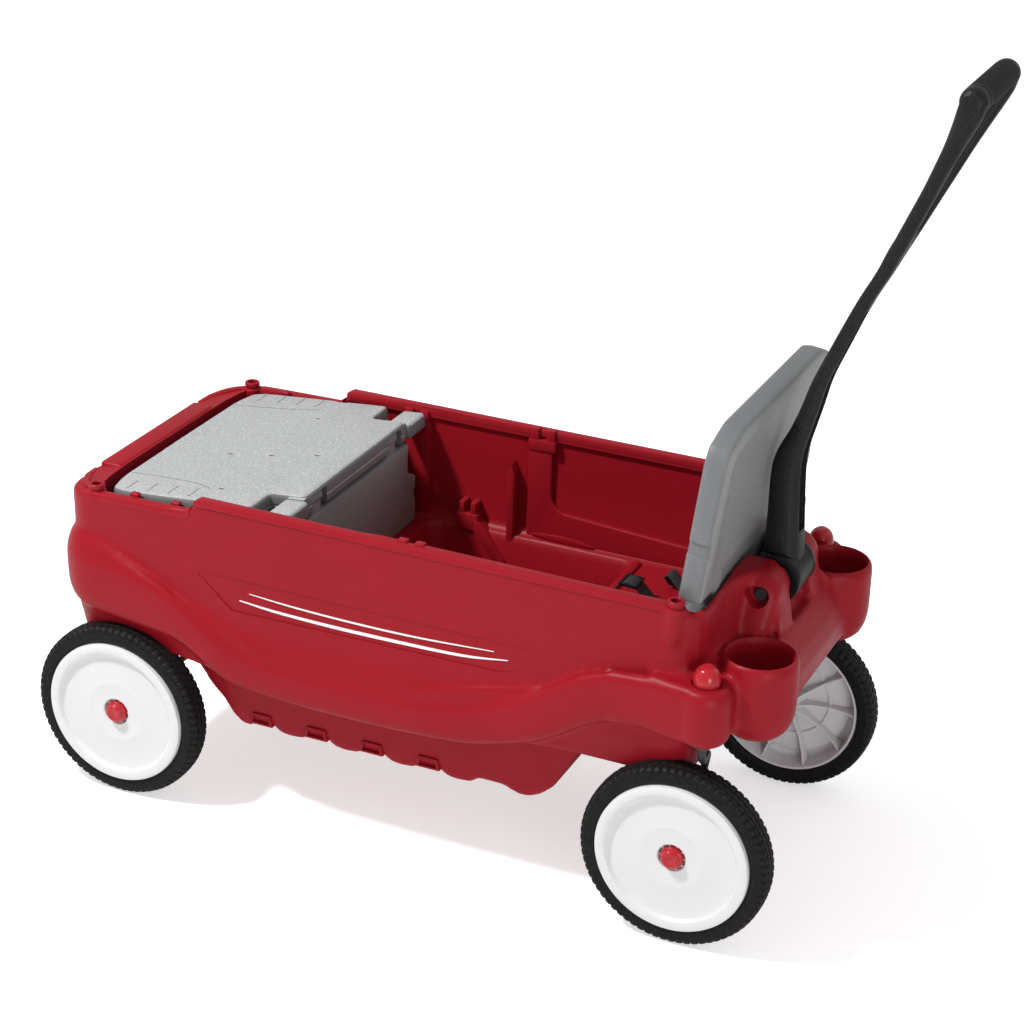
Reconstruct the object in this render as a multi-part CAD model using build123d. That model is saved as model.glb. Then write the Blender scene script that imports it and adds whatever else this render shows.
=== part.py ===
from build123d import *
import os
from math import acos, atan2, degrees, hypot

# Child's pull wagon, millimetres. The layout is drawn with x = 0 at the rear axle, x forwards to the
# pull handle, y to the left and z up from the ground. Every piece is moved by origin_x at the end, so
# that the finished part stands at the middle of its own footprint.

# overall
wheelbase = 820.0
tail_x = -97.0            # rearmost face of the tub
rim_z = 467.0             # top of the tub's rim
rim_half_y = 223.0        # outside of the rim
deck_front_x = 918.0      # front edge of the deck between the cup holders
wall = 6.0                # moulded skin

# wheels and axles
tyre_r = 127.0
tyre_half_w = 19.5
rim_r = 103.5             # outside of the plastic wheel
wheel_y = 222.0           # mid plane of a wheel
rod_r = 5.0               # steel rods: axle, casters, hinge rods, handle bolt
run_gap = 0.05            # running clearance on a radius
seat_gap = 0.3            # gap between neighbours that don't run on each other
hub_r = 16.0
hub_in = 20.0             # hub reaches this far inboard of the mid plane
cap_r = 12.5
washer_t = 2.0
wheel_end = 15.0          # rod ends this far outboard of a wheel's mid plane

# casters
kingpin_x = 846.0
kingpin_y = 223.0
pod_r = 34.0
pod_low_z = 296.0
pod_top_z = 376.0
caster_leg_y = 184.0
caster_jog_z = 262.0
bend_r = 14.0
dome_r = 14.5
dome_h = 22.0
bush_r = 9.0              # plastic bushes round the kingpins and the handle bolt

# tub
base_z = 300.0            # top of the two seat bases
floor_z = 140.0           # footwell floor
hull_low_z = 130.0
hull_half_y = 193.0
band_half_y = 236.0
inner_half_y = 213.0      # inside of the side walls
rim_inner_y = 207.0       # inside of the rim's lip
rim_lip_h = 14.0
well_x = (268.0, 588.0)   # footwell between the seat bases
front_wall_x = 826.0      # inside face of the front wall
rear_wall_x = -60.0       # inside face of the rear wall

# corner posts and cup holders
post_r = 11.0
post_bore_r = 6.5
post_depth = 30.0
rear_post = (-35.0, 208.0, 453.0)
front_post = (797.0, 214.0, 474.0)
cup_x = 890.0
cup_y = 151.0
cup_r = 40.0
cup_wall = 9.0
cup_rim_z = 394.0
cup_floor_z = 296.0

# handle
handle_x = 862.0          # handle pivot
handle_z = 438.0
barrel_r = 34.0
barrel_half_y = 35.0
tower_gap = 1.5           # between the barrel and a tower
tower_out_y = 86.0
crown_r = 30.0            # rounded top of a tower
pocket_r = 13.0           # recess for the bolt's head and nut
pocket_depth = 9.0
grip_x = 1062.0
grip_z = 1095.0
grip_r = 17.0
grip_half_y = 84.0
sleeve_half_y = 62.0
core_r = 12.0

# seat units: a panel with a leg panel under it, both on one hinge rod
rear_hinge = (238.0, 450.0)
front_hinge = (800.0, 424.0)
spare_clip_x = 436.0      # empty clips that the front unit can be moved to
front_back_lean = 97.0    # how far the front panel is raised from flat, degrees
rear_lid_drop = 5.2       # how far the lid slopes down to the tail, degrees
panel_reach = 265.0       # hinge to the panel's far edge
panel_lip = 13.0
panel_up = 17.0           # hinge to the seat surface
panel_down = 13.0
panel_half_y = 198.0
panel_neck_y = 147.0
ear_half_x = 18.5
ear_half_z = 12.0
ear_out_y = 200.0
leg_drop = 149.0
leg_front = 12.0
leg_back = 6.0
lug_r = 8.5
lug_y = (95.0, 125.0)
hinge_rod_half = 211.0
clip_y = 203.0            # inside face of the blocks that hold the hinge rods
leg_rest_gap = 1.0        # front leg panel's foot above the seat base

# lap belts
belt_w = 25.0
belt_t = 1.6
belt_gap = 0.3
belt_half_y = 90.0        # middle of a half belt
belt_tip = 88.0           # anchor to the middle of the buckle
# the front leg panel hangs back until its foot lies on the seat base, degrees from vertical
front_leg_lean = degrees(acos((front_hinge[1] - base_z - leg_rest_gap) / hypot(leg_drop, leg_front))
                         + atan2(leg_front, leg_drop))

origin_x = (grip_x + grip_r - tyre_r) / 2


def side_prism(points, y0, y1):
    """Outline in x and z, drawn out from y0 to y1."""
    face = Plane(origin=(0, y1, 0), x_dir=(1, 0, 0), z_dir=(0, -1, 0)) * Polygon(*points, align=None)
    return extrude(face, y1 - y0, dir=(0, -1, 0))


def front_prism(points, x0, x1):
    """Outline in y and z, drawn out from x0 to x1."""
    face = Plane(origin=(x0, 0, 0), x_dir=(0, 1, 0), z_dir=(1, 0, 0)) * Polygon(*points, align=None)
    return extrude(face, x1 - x0, dir=(1, 0, 0))


def flat_prism(points, z0, z1):
    return Pos(0, 0, z0) * extrude(Polygon(*points, align=None), z1 - z0, dir=(0, 0, 1))


def both_sides(points):
    """Outline from its right half: each (x, y) is repeated at -y, so that it closes."""
    return points + [(x, -y) for x, y in reversed(points)]


def block(x0, x1, y0, y1, z0, z1):
    return Pos((x0 + x1) / 2, (y0 + y1) / 2, (z0 + z1) / 2) * Box(x1 - x0, y1 - y0, z1 - z0)


def rod_y(x, z, r, y0, y1):
    return Pos(x, (y0 + y1) / 2, z) * Rot(90, 0, 0) * Cylinder(r, y1 - y0)


def rod_z(x, y, r, z0, z1):
    return Pos(x, y, (z0 + z1) / 2) * Cylinder(r, z1 - z0)


def ring_y(x, z, r_in, r_out, y0, y1):
    return rod_y(x, z, r_out, y0, y1) - rod_y(x, z, r_in, y0 - 1, y1 + 1)


def ring_z(x, y, r_in, r_out, z0, z1):
    return rod_z(x, y, r_out, z0, z1) - rod_z(x, y, r_in, z0 - 1, z1 + 1)


def turned_y(profile, x, y, z):
    """Profile of (radius, y) pairs turned about a line along y."""
    return Pos(x, y, z) * revolve(Polygon(*profile, align=None), Axis.Y)


def right_side(piece):
    return mirror(piece, Plane.XZ)


# ---------------------------------------------------------------- tub
def band_outline():
    """The bulge along the side, from the tail to the caster pod."""
    upper = [(tail_x + 4, 352), (-60, 350), (100, 322), (185, 266), (354, 257), (517, 265)]
    upper += [(633, 319), (707, 366), (kingpin_x, pod_top_z)]
    lower = [(kingpin_x, pod_low_z), (kingpin_x - pod_r, pod_low_z), (703, 287), (636, 239), (518, 206), (184, 206), (98, 254)]
    lower += [(-76, 272), (tail_x + 4, 308)]
    return upper + lower


def tub_outside():
    """Closed outer form: upper tub, side bands and the footwell's hull."""
    corner = 45.0
    plan = both_sides([(tail_x, rim_half_y - corner), (tail_x + 13, rim_half_y - 13),
                       (tail_x + corner, rim_half_y), (front_wall_x - 30, rim_half_y),
                       (front_wall_x + wall, rim_half_y - 25)])
    side = [(tail_x, 312), (-78, 272), (98, 254), (184, 206), (518, 206), (636, 239), (703, 290),
            (front_wall_x + wall, pod_low_z), (front_wall_x + wall, rim_z - 8), (790, rim_z),
            (122, rim_z), (112, 445), (tail_x + 22, 440), (tail_x, 425)]
    tub = flat_prism(plan, 200, rim_z) & side_prism(side, -rim_half_y, rim_half_y)
    tub += side_prism(band_outline(), -band_half_y, band_half_y)
    hull = [(143, 262), (143, 165), (196, hull_low_z), (526, hull_low_z), (606, 140), (637, 165),
            (696, 252), (703, 296)]
    return tub + side_prism(hull, -hull_half_y, hull_half_y)


def front_deck():
    """Deck ahead of the front wall, with the caster pods and the cup holders' walls."""
    low = pod_low_z - 2
    deck = side_prism([(front_wall_x, low), (deck_front_x - 8, low), (deck_front_x, low + 10),
                       (deck_front_x, 330), (893, 386), (front_wall_x, 386)], -cup_y, cup_y)
    for s in (1, -1):
        deck += rod_z(kingpin_x, s * kingpin_y, pod_r, pod_low_z, pod_top_z)
        shelf = [(760, s * 150), (760, s * band_half_y), (kingpin_x, s * (kingpin_y + pod_r)),
                 (kingpin_x + 30, s * 236), (cup_x + 20, s * 185), (cup_x, s * 150)]
        deck += flat_prism(shelf, pod_low_z, pod_top_z)
        deck += rod_z(cup_x, s * cup_y, cup_r + cup_wall, cup_floor_z - wall, cup_rim_z)
    return deck


def handle_towers():
    """Two arched humps that carry the handle's bolt."""
    foot = [(front_wall_x + 2, 320), (906, 320), (handle_x + crown_r + 6, 400),
            (handle_x + crown_r, handle_z + 4), (front_wall_x + 2, handle_z + 22)]
    inner = barrel_half_y + tower_gap
    towers = None
    for y0, y1 in ((inner, tower_out_y), (-tower_out_y, -inner)):
        tower = side_prism(foot, y0, y1) + rod_y(handle_x - 4, handle_z, crown_r, y0, y1)
        towers = tower if towers is None else towers + tower
    return towers


def tub_hollows():
    """Everything taken out of the tub: cabin, footwell and the open undersides."""
    cabin_z = base_z
    cut = block(rear_wall_x, front_wall_x, -inner_half_y, inner_half_y, cabin_z, rim_z - rim_lip_h)
    cut += block(rear_wall_x, front_wall_x, -rim_inner_y, rim_inner_y, rim_z - rim_lip_h - 1, rim_z + 9)
    well = [(well_x[0], base_z + 1), (well_x[0] + 12, floor_z), (well_x[1] - 23, floor_z),
            (well_x[1], base_z + 1)]
    cut += side_prism(well, wall - hull_half_y, hull_half_y - wall)
    under = base_z - wall
    cut += side_prism([(150, under), (150, 100), (well_x[0] + 9, 100), (well_x[0] + 5, floor_z),
                       (well_x[0] - wall, under)], wall - hull_half_y, hull_half_y - wall)
    cut += side_prism([(well_x[1] + wall, under), (well_x[1] - 16, floor_z), (well_x[1] - 16, 100),
                       (604, 100), (632, 172), (690, 256), (696, under)],
                      wall - hull_half_y, hull_half_y - wall)
    skin = band_half_y - wall
    cut += block(tail_x + 2 * wall, 143, -skin, skin, 200, under)
    cut += block(703, front_wall_x - wall, -180, 180, 200, under)
    cut += block(tail_x + wall, rear_wall_x - wall, -200, 200, 280, 418)
    cut += side_prism([(826, 100), (826, 378), (888, 378), (909, 330), (909, 100)], -98, 98)
    # space between the inner and the outer skin of the sides, open from below
    gap = [(-85, 345), (-60, 344), (97, 316), (150, 280), (600, 290), (631, 312), (700, 352),
           (745, 365), (745, 100), (-85, 100)]
    for s in (1, -1):
        y0, y1 = sorted((s * (inner_half_y + wall), s * skin))
        cut += side_prism(gap, y0, y1)
        y0, y1 = sorted((s * hull_half_y, s * skin))
        cut += block(143, 703, y0, y1, 100, under)
    return cut


def underside_parts():
    """Legs that carry the rear axle."""
    leg = [(-48, base_z - 1), (48, base_z - 1), (17, 113), (-17, 113)]
    face = wheel_y - hub_in - seat_gap - washer_t - seat_gap - 0.4
    legs = side_prism(leg, face - 34, face)
    return legs + right_side(legs)


def rod_clip(x, z):
    """Block on the side wall with an open slot for the end of a hinge rod."""
    half = 18.0
    clip = block(x - half, x + half, clip_y, inner_half_y + 1, base_z - 2, z + 12)
    return clip + right_side(clip)


def rod_slot(x, z, open_top):
    """Seat for the ends of a hinge rod, cut through the clips and, where the unit lifts out, the lip."""
    slot = rod_y(x, z, rod_r + run_gap, -inner_half_y, inner_half_y)
    if open_top:
        half = rod_r + run_gap
        slot += block(x - half, x + half, -inner_half_y, inner_half_y, z, z + 20)
    return slot


def inside_parts():
    """Rod clips at the three seat places, the ledges under the bench and the wall ribs."""
    parts = rod_clip(*rear_hinge) + rod_clip(*front_hinge) + rod_clip(spare_clip_x, rear_hinge[1])
    for s in (1, -1):
        y0, y1 = sorted((s * 190, s * (inner_half_y + 1)))
        # ledge that the lid's edge comes down on, sloping with it
        parts += side_prism([(-45, 398), (120, 413), (120, 425), (-45, 410)], y0, y1)
        y0, y1 = sorted((s * (clip_y + 2), s * (inner_half_y + 1)))
        parts += block(388, 398, y0, y1, base_z - 2, 410)
        parts += side_prism([(478, 345), (768, 330), (768, 322), (470, 337), (470, 350)], y0, y1)
    return parts


def corner_posts():
    posts = None
    for x, y, z in (rear_post, front_post):
        post = rod_z(x, y, post_r, z - 60, z)
        post += Pos(x, y, z - 60) * Rot(180, 0, 0) * Cone(post_r, 3, 40, align=(Align.CENTER,
                                                          Align.CENTER, Align.MIN))
        both = post + right_side(post)
        posts = both if posts is None else posts + both
    return posts


def bored_holes():
    """Holes for the posts' sockets, cups, kingpins, axle and handle bolt."""
    holes = rod_y(0, tyre_r, rod_r + run_gap, -230, 230)
    holes += rod_y(handle_x, handle_z, rod_r + run_gap, -tower_out_y - 1, tower_out_y + 1)
    for s in (1, -1):
        for x, y, z in (rear_post, front_post):
            holes += rod_z(x, s * y, post_bore_r, z - post_depth, z + 1)
        holes += rod_z(cup_x, s * cup_y, cup_r, cup_floor_z, cup_rim_z + 1)
        holes += rod_z(kingpin_x, s * kingpin_y, bush_r + run_gap, pod_low_z - 1, pod_top_z + 1)
        y0, y1 = sorted((s * (tower_out_y - pocket_depth), s * (tower_out_y + 5)))
        holes += rod_y(handle_x, handle_z, pocket_r, y0, y1)
    return holes



def body_shell():
    inner = barrel_half_y + tower_gap
    shell = tub_outside() + front_deck() + handle_towers() - tub_hollows()
    shell += underside_parts() + inside_parts() + corner_posts()
    # the front wall is lower between the towers, where the handle's barrel turns
    shell -= block(front_wall_x - 1, 915, -inner, inner, 398, 480)
    shell -= bored_holes() + rod_slot(*rear_hinge, True) + rod_slot(*front_hinge, False)
    shell -= rod_slot(spare_clip_x, rear_hinge[1], True)
    # raised bar across the tail
    shell += block(tail_x, rear_wall_x - 20, -125, 125, 430, 441)
    return shell


# ---------------------------------------------------------------- running gear
def wheel():
    bore = rod_r + run_gap
    profile = [(bore, -hub_in), (hub_r, -hub_in), (hub_r, 12), (82, 13), (88, 19), (98, 19),
               (98, -14), (rim_r, -14), (rim_r, 21.5), (102, 23), (89, 23), (83, 17), (15.5, 17),
               (15.5, 8), (bore, 8)]
    return turned_y(profile, 0, 0, 0)


def tyre():
    inner = rim_r + 0.2
    w = tyre_half_w
    half = [(inner, 15), (inner + 4, w - 1), (inner + 12, w), (tyre_r - 4, w - 2), (tyre_r - 1, 14),
            (tyre_r, 8)]
    return turned_y(half + [(r, -y) for r, y in reversed(half)], 0, 0, 0)


def hub_cap():
    end = wheel_end + seat_gap
    profile = [(0, end), (rod_r + run_gap, end), (rod_r + run_gap, 8 + seat_gap), (cap_r, 8 + seat_gap),
               (cap_r, 18), (10.5, 19.5), (9, 23), (5, 25), (0, 25.5)]
    return turned_y(profile, 0, 0, 0)



def at_wheel(piece, x):
    return Pos(x, wheel_y, tyre_r) * piece


def rear_axle():
    return rod_y(0, tyre_r, rod_r, -wheel_y - wheel_end, wheel_y + wheel_end)


def axle_washer(x):
    y1 = wheel_y - hub_in - seat_gap
    return ring_y(x, tyre_r, rod_r + run_gap, 10, y1 - washer_t, y1)


def caster_rod():
    corners = [(kingpin_x, kingpin_y, 393), (kingpin_x, kingpin_y, caster_jog_z),
               (kingpin_x - 5, caster_leg_y, caster_jog_z), (wheelbase, caster_leg_y, tyre_r),
               (wheelbase, wheel_y + wheel_end, tyre_r)]
    path = FilletPolyline(*corners, radius=bend_r)
    return sweep(Plane(path @ 0, z_dir=path % 0) * Circle(rod_r), path=path)


def kingpin_bushes():
    hole = rod_r + run_gap
    low = ring_z(kingpin_x, kingpin_y, hole, bush_r, pod_low_z, pod_low_z + 16)
    low += ring_z(kingpin_x, kingpin_y, hole, 13, pod_low_z - 2.3, pod_low_z - seat_gap)
    low += ring_z(kingpin_x, kingpin_y, hole, bush_r, pod_low_z - 1, pod_low_z + 1)
    high = ring_z(kingpin_x, kingpin_y, hole, bush_r, pod_top_z - 16, pod_top_z + 1)
    high += ring_z(kingpin_x, kingpin_y, hole, 13, pod_top_z + seat_gap, pod_top_z + 2.3)
    return [low, high]


def kingpin_collar():
    return ring_z(kingpin_x, kingpin_y, rod_r + run_gap, 9.5, pod_low_z - 10, pod_low_z - 2.6)


def kingpin_dome():
    base = pod_top_z + 2.6
    dome = rod_z(kingpin_x, kingpin_y, dome_r, base, base + dome_h)
    dome = chamfer(dome.edges().group_by(Axis.Z)[-1], 5)
    return dome - rod_z(kingpin_x, kingpin_y, rod_r + run_gap, base - 1, 393 + seat_gap)


# ---------------------------------------------------------------- handle
def handle_frame():
    rear = [(830, 455), (837, 490), (842, 560), (853, 620), (882, 705), (927, 805), (983, 940),
            (1013, 1015), (1036, 1066), (1046, 1095)]
    front = [(1078, 1090), (1066, 1045), (1042, 1000), (1010, 935), (980, 872), (950, 800),
             (918, 710), (898, 620), (892, 560), (890, 500), (892, 455)]
    half = [(26, 440), (25, 620), (17, 770), (17, 870), (30, 925), (58, 995), (78, 1052),
            (grip_half_y, 1085), (grip_half_y, 1120)]
    face = half + [(-y, z) for y, z in reversed(half)]
    bar = side_prism(rear + front, -grip_half_y, grip_half_y) & front_prism(face, 800, 1100)
    bar += rod_y(handle_x, handle_z, barrel_r, -barrel_half_y, barrel_half_y)
    loop = [(0, 905), (40, 985), (58, 1040), (62, 1074), (-62, 1074), (-58, 1040), (-40, 985)]
    bar -= front_prism(loop, 900, 1100)
    # channel up the front of the bar
    channel = [(893, 500), (880, 510), (881, 560), (888, 620), (910, 710), (941, 800), (948, 790),
               (925, 700), (905, 610), (900, 540)]
    bar -= side_prism(channel, -13, 13)
    bar -= block(1000, 1100, -sleeve_half_y - 1, sleeve_half_y + 1, 1076, 1130)
    bar += rod_y(grip_x, grip_z, grip_r, sleeve_half_y + 2, grip_half_y)
    bar += rod_y(grip_x, grip_z, grip_r, -grip_half_y, -sleeve_half_y - 2)
    bar += rod_y(grip_x, grip_z, core_r, -grip_half_y + 5, grip_half_y - 5)
    return bar - rod_y(handle_x, handle_z, bush_r + run_gap, -barrel_half_y - 1, barrel_half_y + 1)


def handle_grip():
    return ring_y(grip_x, grip_z, core_r + run_gap, grip_r, -sleeve_half_y, sleeve_half_y)


def barrel_bushes():
    length = 18.0
    left = ring_y(handle_x, handle_z, rod_r + run_gap, bush_r, barrel_half_y - length, barrel_half_y)
    return [left, right_side(left)]


def handle_bolt():
    face = tower_out_y - pocket_depth
    bolt = rod_y(handle_x, handle_z, rod_r, -face - seat_gap, face + 7)
    head = rod_y(handle_x, handle_z, 10, -face - 6, -face - seat_gap)
    return bolt + chamfer(head.edges().group_by(Axis.Y)[0], 2.5)


def handle_nut():
    face = tower_out_y - pocket_depth
    return ring_y(handle_x, handle_z, rod_r + run_gap, 10, face + seat_gap, face + 6)


# ---------------------------------------------------------------- seat units
def seat_panel():
    """Panel lying flat, hinge rod on the origin, reaching towards -x."""
    far = panel_reach
    half = [(panel_lip, panel_neck_y), (-40, panel_neck_y), (-40, panel_half_y), (-230, panel_half_y),
            (14 - far, 188), (-far, 145)]
    panel = flat_prism(both_sides(half), -panel_down, panel_up)
    skin = 5.0
    pocket_z = panel_up - skin
    ribs_x = [-far + skin, -194.0, -132.0, -72.0]
    # ribbed underside: open pockets between the ribs
    for x0, x1 in zip(ribs_x, ribs_x[1:]):
        for y0, y1 in ((-136, -48), (-43, 43), (48, 136)):
            panel -= block(x0 + skin, x1, y0, y1, -panel_down - 1, pocket_z)
    for s in (1, -1):
        for x0, x1 in ((-225, -194), (-189, -132), (-127, -72), (-67, -46)):
            y0, y1 = sorted((s * (panel_neck_y - 6), s * (panel_half_y - skin)))
            panel -= block(x0 + skin, x1, y0, y1, -panel_down - 1, pocket_z)
        y0, y1 = sorted((s * (lug_y[0] - 3), s * (lug_y[1] + 3)))
        panel -= block(-62, panel_lip - 4, y0, y1, -panel_down - 1, panel_up - skin)
        panel -= block(-14, panel_lip + 1, y0, y1, -panel_down - 1, 8.5)
        panel -= block(-62, -20, -s * 60 - 26, -s * 60 + 26, -panel_down - 1, pocket_z)
        y0, y1 = sorted((s * (panel_neck_y - 1), s * ear_out_y))
        ear = block(-ear_half_x, ear_half_x - 0.5, y0, y1, -ear_half_z, ear_half_z)
        panel += fillet(ear.edges().filter_by(Axis.Y), 7)
    return panel - rod_y(0, 0, rod_r, -hinge_rod_half, hinge_rod_half)


def hinge_rod():
    return rod_y(0, 0, rod_r, -hinge_rod_half, hinge_rod_half)


def seat_leg():
    """Leg panel hanging straight down from the hinge rod."""
    profile = [(leg_front, -20), (leg_front, -leg_drop), (-leg_back, -leg_drop), (-leg_back, -30),
               (0, -20)]
    outline = [(155, 0), (155, -66), (180, -78), (180, -leg_drop), (-180, -leg_drop), (-180, -78),
               (-155, -66), (-155, 0)]
    leg = side_prism(profile, -181, 181) & front_prism(outline, -20, 20)
    skin = 4.0
    for y0 in (-145, -86, -27, 32, 91):
        leg -= block(-leg_back - 1, leg_front - skin, y0, y0 + 54, 6 - leg_drop, -36)
    for s in (1, -1):
        y0, y1 = sorted((s * lug_y[0], s * lug_y[1]))
        leg += rod_y(0, 0, lug_r, y0, y1)
        leg += side_prism([(-6, -2), (5, -2), (5, -24), (0, -24), (-5.5, -32)], y0, y1)
    return leg - rod_y(0, 0, rod_r + run_gap, -200, 200)


def rear_unit(piece, drop=0.0):
    return Pos(rear_hinge[0], 0, rear_hinge[1]) * Rot(0, -drop, 0) * piece


def front_unit(piece, lean):
    return Pos(front_hinge[0], 0, front_hinge[1]) * Rot(0, lean, 0) * piece


# ---------------------------------------------------------------- lap belts

def belt_strap(x, y, way):
    """One half belt: anchored flat on the seat base, arched once, lying back down."""
    z = base_z + belt_gap
    line = [(0, 0), (way * 22, 0), (way * 34, 16), (way * 50, 22), (way * 66, 15), (way * 78, 0.6),
            (way * 96, 0.6)]
    outer = [(px, pz + belt_t) for px, pz in line]
    outline = [(x + px, z + pz) for px, pz in line + outer[::-1]]
    return side_prism(outline, y - belt_w / 2, y + belt_w / 2)


def belt_buckle(x, y):
    low = base_z + belt_gap
    buckle = block(x - 20, x + 20, y - 17, y + 17, low, low + 11)
    return fillet(buckle.edges().group_by(Axis.Z)[-1], 3)


def belt_screw(x, y):
    low = base_z + belt_gap + belt_t + seat_gap
    return rod_z(x, y, 7, low, low + 3)


# ---------------------------------------------------------------- output
def save(name, *pieces):
    shape = Compound(children=[Pos(-origin_x, 0, 0) * p for p in pieces])
    if len(pieces) == 1:
        shape = Pos(-origin_x, 0, 0) * pieces[0]
    export_step(shape, os.path.join("parts", name + ".step"))


def main():
    os.makedirs("parts", exist_ok=True)
    save("body_shell", body_shell())
    save("rear_axle", rear_axle())
    for side, place in (("left", lambda p: p), ("right", right_side)):
        for end, x in (("rear", 0), ("front", wheelbase)):
            save(f"{end}_wheel_{side}", place(at_wheel(wheel(), x)))
            save(f"{end}_tyre_{side}", place(at_wheel(tyre(), x)))
            save(f"{end}_hub_cap_{side}", place(at_wheel(hub_cap(), x)))
            save(f"{end}_washer_{side}", place(axle_washer(x)))
        save(f"caster_rod_{side}", place(caster_rod()))
        save(f"kingpin_bushes_{side}", *[place(p) for p in kingpin_bushes()])
        save(f"kingpin_collar_{side}", place(kingpin_collar()))
        save(f"kingpin_dome_{side}", place(kingpin_dome()))
    save("handle_frame", handle_frame())
    save("handle_grip", handle_grip())
    save("barrel_bushes", *barrel_bushes())
    save("handle_bolt", handle_bolt())
    save("handle_nut", handle_nut())
    save("rear_seat_panel", rear_unit(seat_panel(), rear_lid_drop))
    save("rear_seat_leg", rear_unit(seat_leg()))
    save("rear_hinge_rod", rear_unit(hinge_rod(), rear_lid_drop))
    save("front_seat_panel", front_unit(seat_panel(), front_back_lean))
    save("front_seat_leg", front_unit(seat_leg(), front_leg_lean))
    save("front_hinge_rod", front_unit(hinge_rod(), front_back_lean))
    for end, anchor, way in (("front", 688, -1), ("rear", 60, 1)):
        save(f"{end}_belt_left", belt_strap(anchor, belt_half_y, way))
        save(f"{end}_belt_right", belt_strap(anchor, -belt_half_y, way))
        tip = anchor + way * belt_tip
        save(f"{end}_buckles", belt_buckle(tip, belt_half_y / 2), belt_buckle(tip, -belt_half_y / 2))
        screw_x = anchor + way * 8
        save(f"{end}_belt_screws", belt_screw(screw_x, belt_half_y), belt_screw(screw_x, -belt_half_y))


main()
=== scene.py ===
import bpy
import bmesh
import math
from mathutils import Matrix, Vector


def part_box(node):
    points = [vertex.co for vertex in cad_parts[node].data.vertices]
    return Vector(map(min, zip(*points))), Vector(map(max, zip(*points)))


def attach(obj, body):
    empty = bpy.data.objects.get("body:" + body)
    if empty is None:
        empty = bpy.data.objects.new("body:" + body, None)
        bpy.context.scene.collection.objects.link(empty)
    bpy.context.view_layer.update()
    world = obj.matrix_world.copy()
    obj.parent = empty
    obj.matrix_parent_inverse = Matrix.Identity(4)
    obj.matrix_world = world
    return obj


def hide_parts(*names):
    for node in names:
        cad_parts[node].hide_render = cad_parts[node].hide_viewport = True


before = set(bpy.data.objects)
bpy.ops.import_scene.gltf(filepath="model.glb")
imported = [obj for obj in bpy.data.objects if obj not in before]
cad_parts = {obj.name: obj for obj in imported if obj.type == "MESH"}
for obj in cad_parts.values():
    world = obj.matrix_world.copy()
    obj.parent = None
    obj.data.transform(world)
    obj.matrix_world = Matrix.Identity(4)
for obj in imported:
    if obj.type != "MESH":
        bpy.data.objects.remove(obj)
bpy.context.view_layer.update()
axleLow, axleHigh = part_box("rear_axle")
# layout: millimetres, x forward from the rear axle, y to the left, z up
toRow = Matrix.Translation(((axleLow.x + axleHigh.x) / 2, 0, 0)) @ Matrix.Scale(0.001, 4)


# working helpers
def clearSelection():
    active = bpy.context.view_layer.objects.active
    if active and active.mode != "OBJECT":
        bpy.ops.object.mode_set(mode="OBJECT")
    bpy.ops.object.select_all(action="DESELECT")


def pick(*pieces):
    clearSelection()
    for piece in pieces:
        piece.select_set(True)
    bpy.context.view_layer.objects.active = pieces[0]


def editMesh(piece):
    pick(piece)
    bpy.ops.object.mode_set(mode="EDIT")
    bpy.ops.mesh.select_all(action="SELECT")


def leaveEdit():
    bpy.ops.object.mode_set(mode="OBJECT")


def faceOut(piece):
    editMesh(piece)
    bpy.ops.mesh.remove_doubles(threshold=0.001)
    bpy.ops.mesh.normals_make_consistent(inside=False)
    leaveEdit()
    return piece


def loft(name, rings):
    clearSelection()
    bpy.ops.mesh.primitive_circle_add(vertices=len(rings[0]), radius=10, fill_type="NGON")
    piece = bpy.context.object
    piece.name = name
    bpy.ops.object.mode_set(mode="EDIT")
    mesh = bmesh.from_edit_mesh(piece.data)
    mesh.verts.ensure_lookup_table()
    places = {}
    for number, vertex in enumerate(mesh.verts):
        vertex.co = rings[0][number]
        places[vertex.index] = number
    bmesh.update_edit_mesh(piece.data)
    for ring in rings[1:]:
        bpy.ops.mesh.extrude_region()
        mesh = bmesh.from_edit_mesh(piece.data)
        mesh.verts.index_update()
        fresh = {}
        for vertex in [v for v in mesh.verts if v.select]:
            below = [e.other_vert(vertex) for e in vertex.link_edges]
            number = places[[v for v in below if not v.select][0].index]
            fresh[vertex.index] = number
            vertex.co = ring[number]
        places = fresh
        bmesh.update_edit_mesh(piece.data)
    leaveEdit()
    return faceOut(piece)


def across(axis, u, v, w):
    if axis == "x":
        return (w, u, v)
    if axis == "y":
        return (u, w, v)
    return (u, v, w)


def plate(name, outline, axis, low, high):
    return loft(name, [[across(axis, u, v, w) for u, v in outline] for w in (low, high)])


def turned(name, profile, centre, axis="y", steps=64, closed=True):
    # profile pairs: radius, place along the axis
    clearSelection()
    bpy.ops.mesh.primitive_circle_add(vertices=len(profile), radius=10, fill_type="NOTHING")
    piece = bpy.context.object
    piece.name = name
    bpy.ops.object.mode_set(mode="EDIT")
    mesh = bmesh.from_edit_mesh(piece.data)
    mesh.verts.ensure_lookup_table()
    for vertex, (radius, along) in zip(mesh.verts, profile):
        offset = (radius, along, 0) if axis == "y" else (radius, 0, along)
        vertex.co = Vector(centre) + Vector(offset)
    if not closed:
        first, last = mesh.verts[0], mesh.verts[-1]
        mesh.edges.remove(mesh.edges.get((first, last)))
    bmesh.update_edit_mesh(piece.data)
    bpy.ops.mesh.select_all(action="SELECT")
    turn = (0, 1, 0) if axis == "y" else (0, 0, 1)
    bpy.ops.mesh.spin(steps=steps, angle=math.tau, center=centre, axis=turn, use_auto_merge=True)
    bpy.ops.mesh.select_all(action="SELECT")
    bpy.ops.mesh.remove_doubles(threshold=0.002)
    bpy.ops.mesh.normals_make_consistent(inside=False)
    leaveEdit()
    return piece


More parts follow.
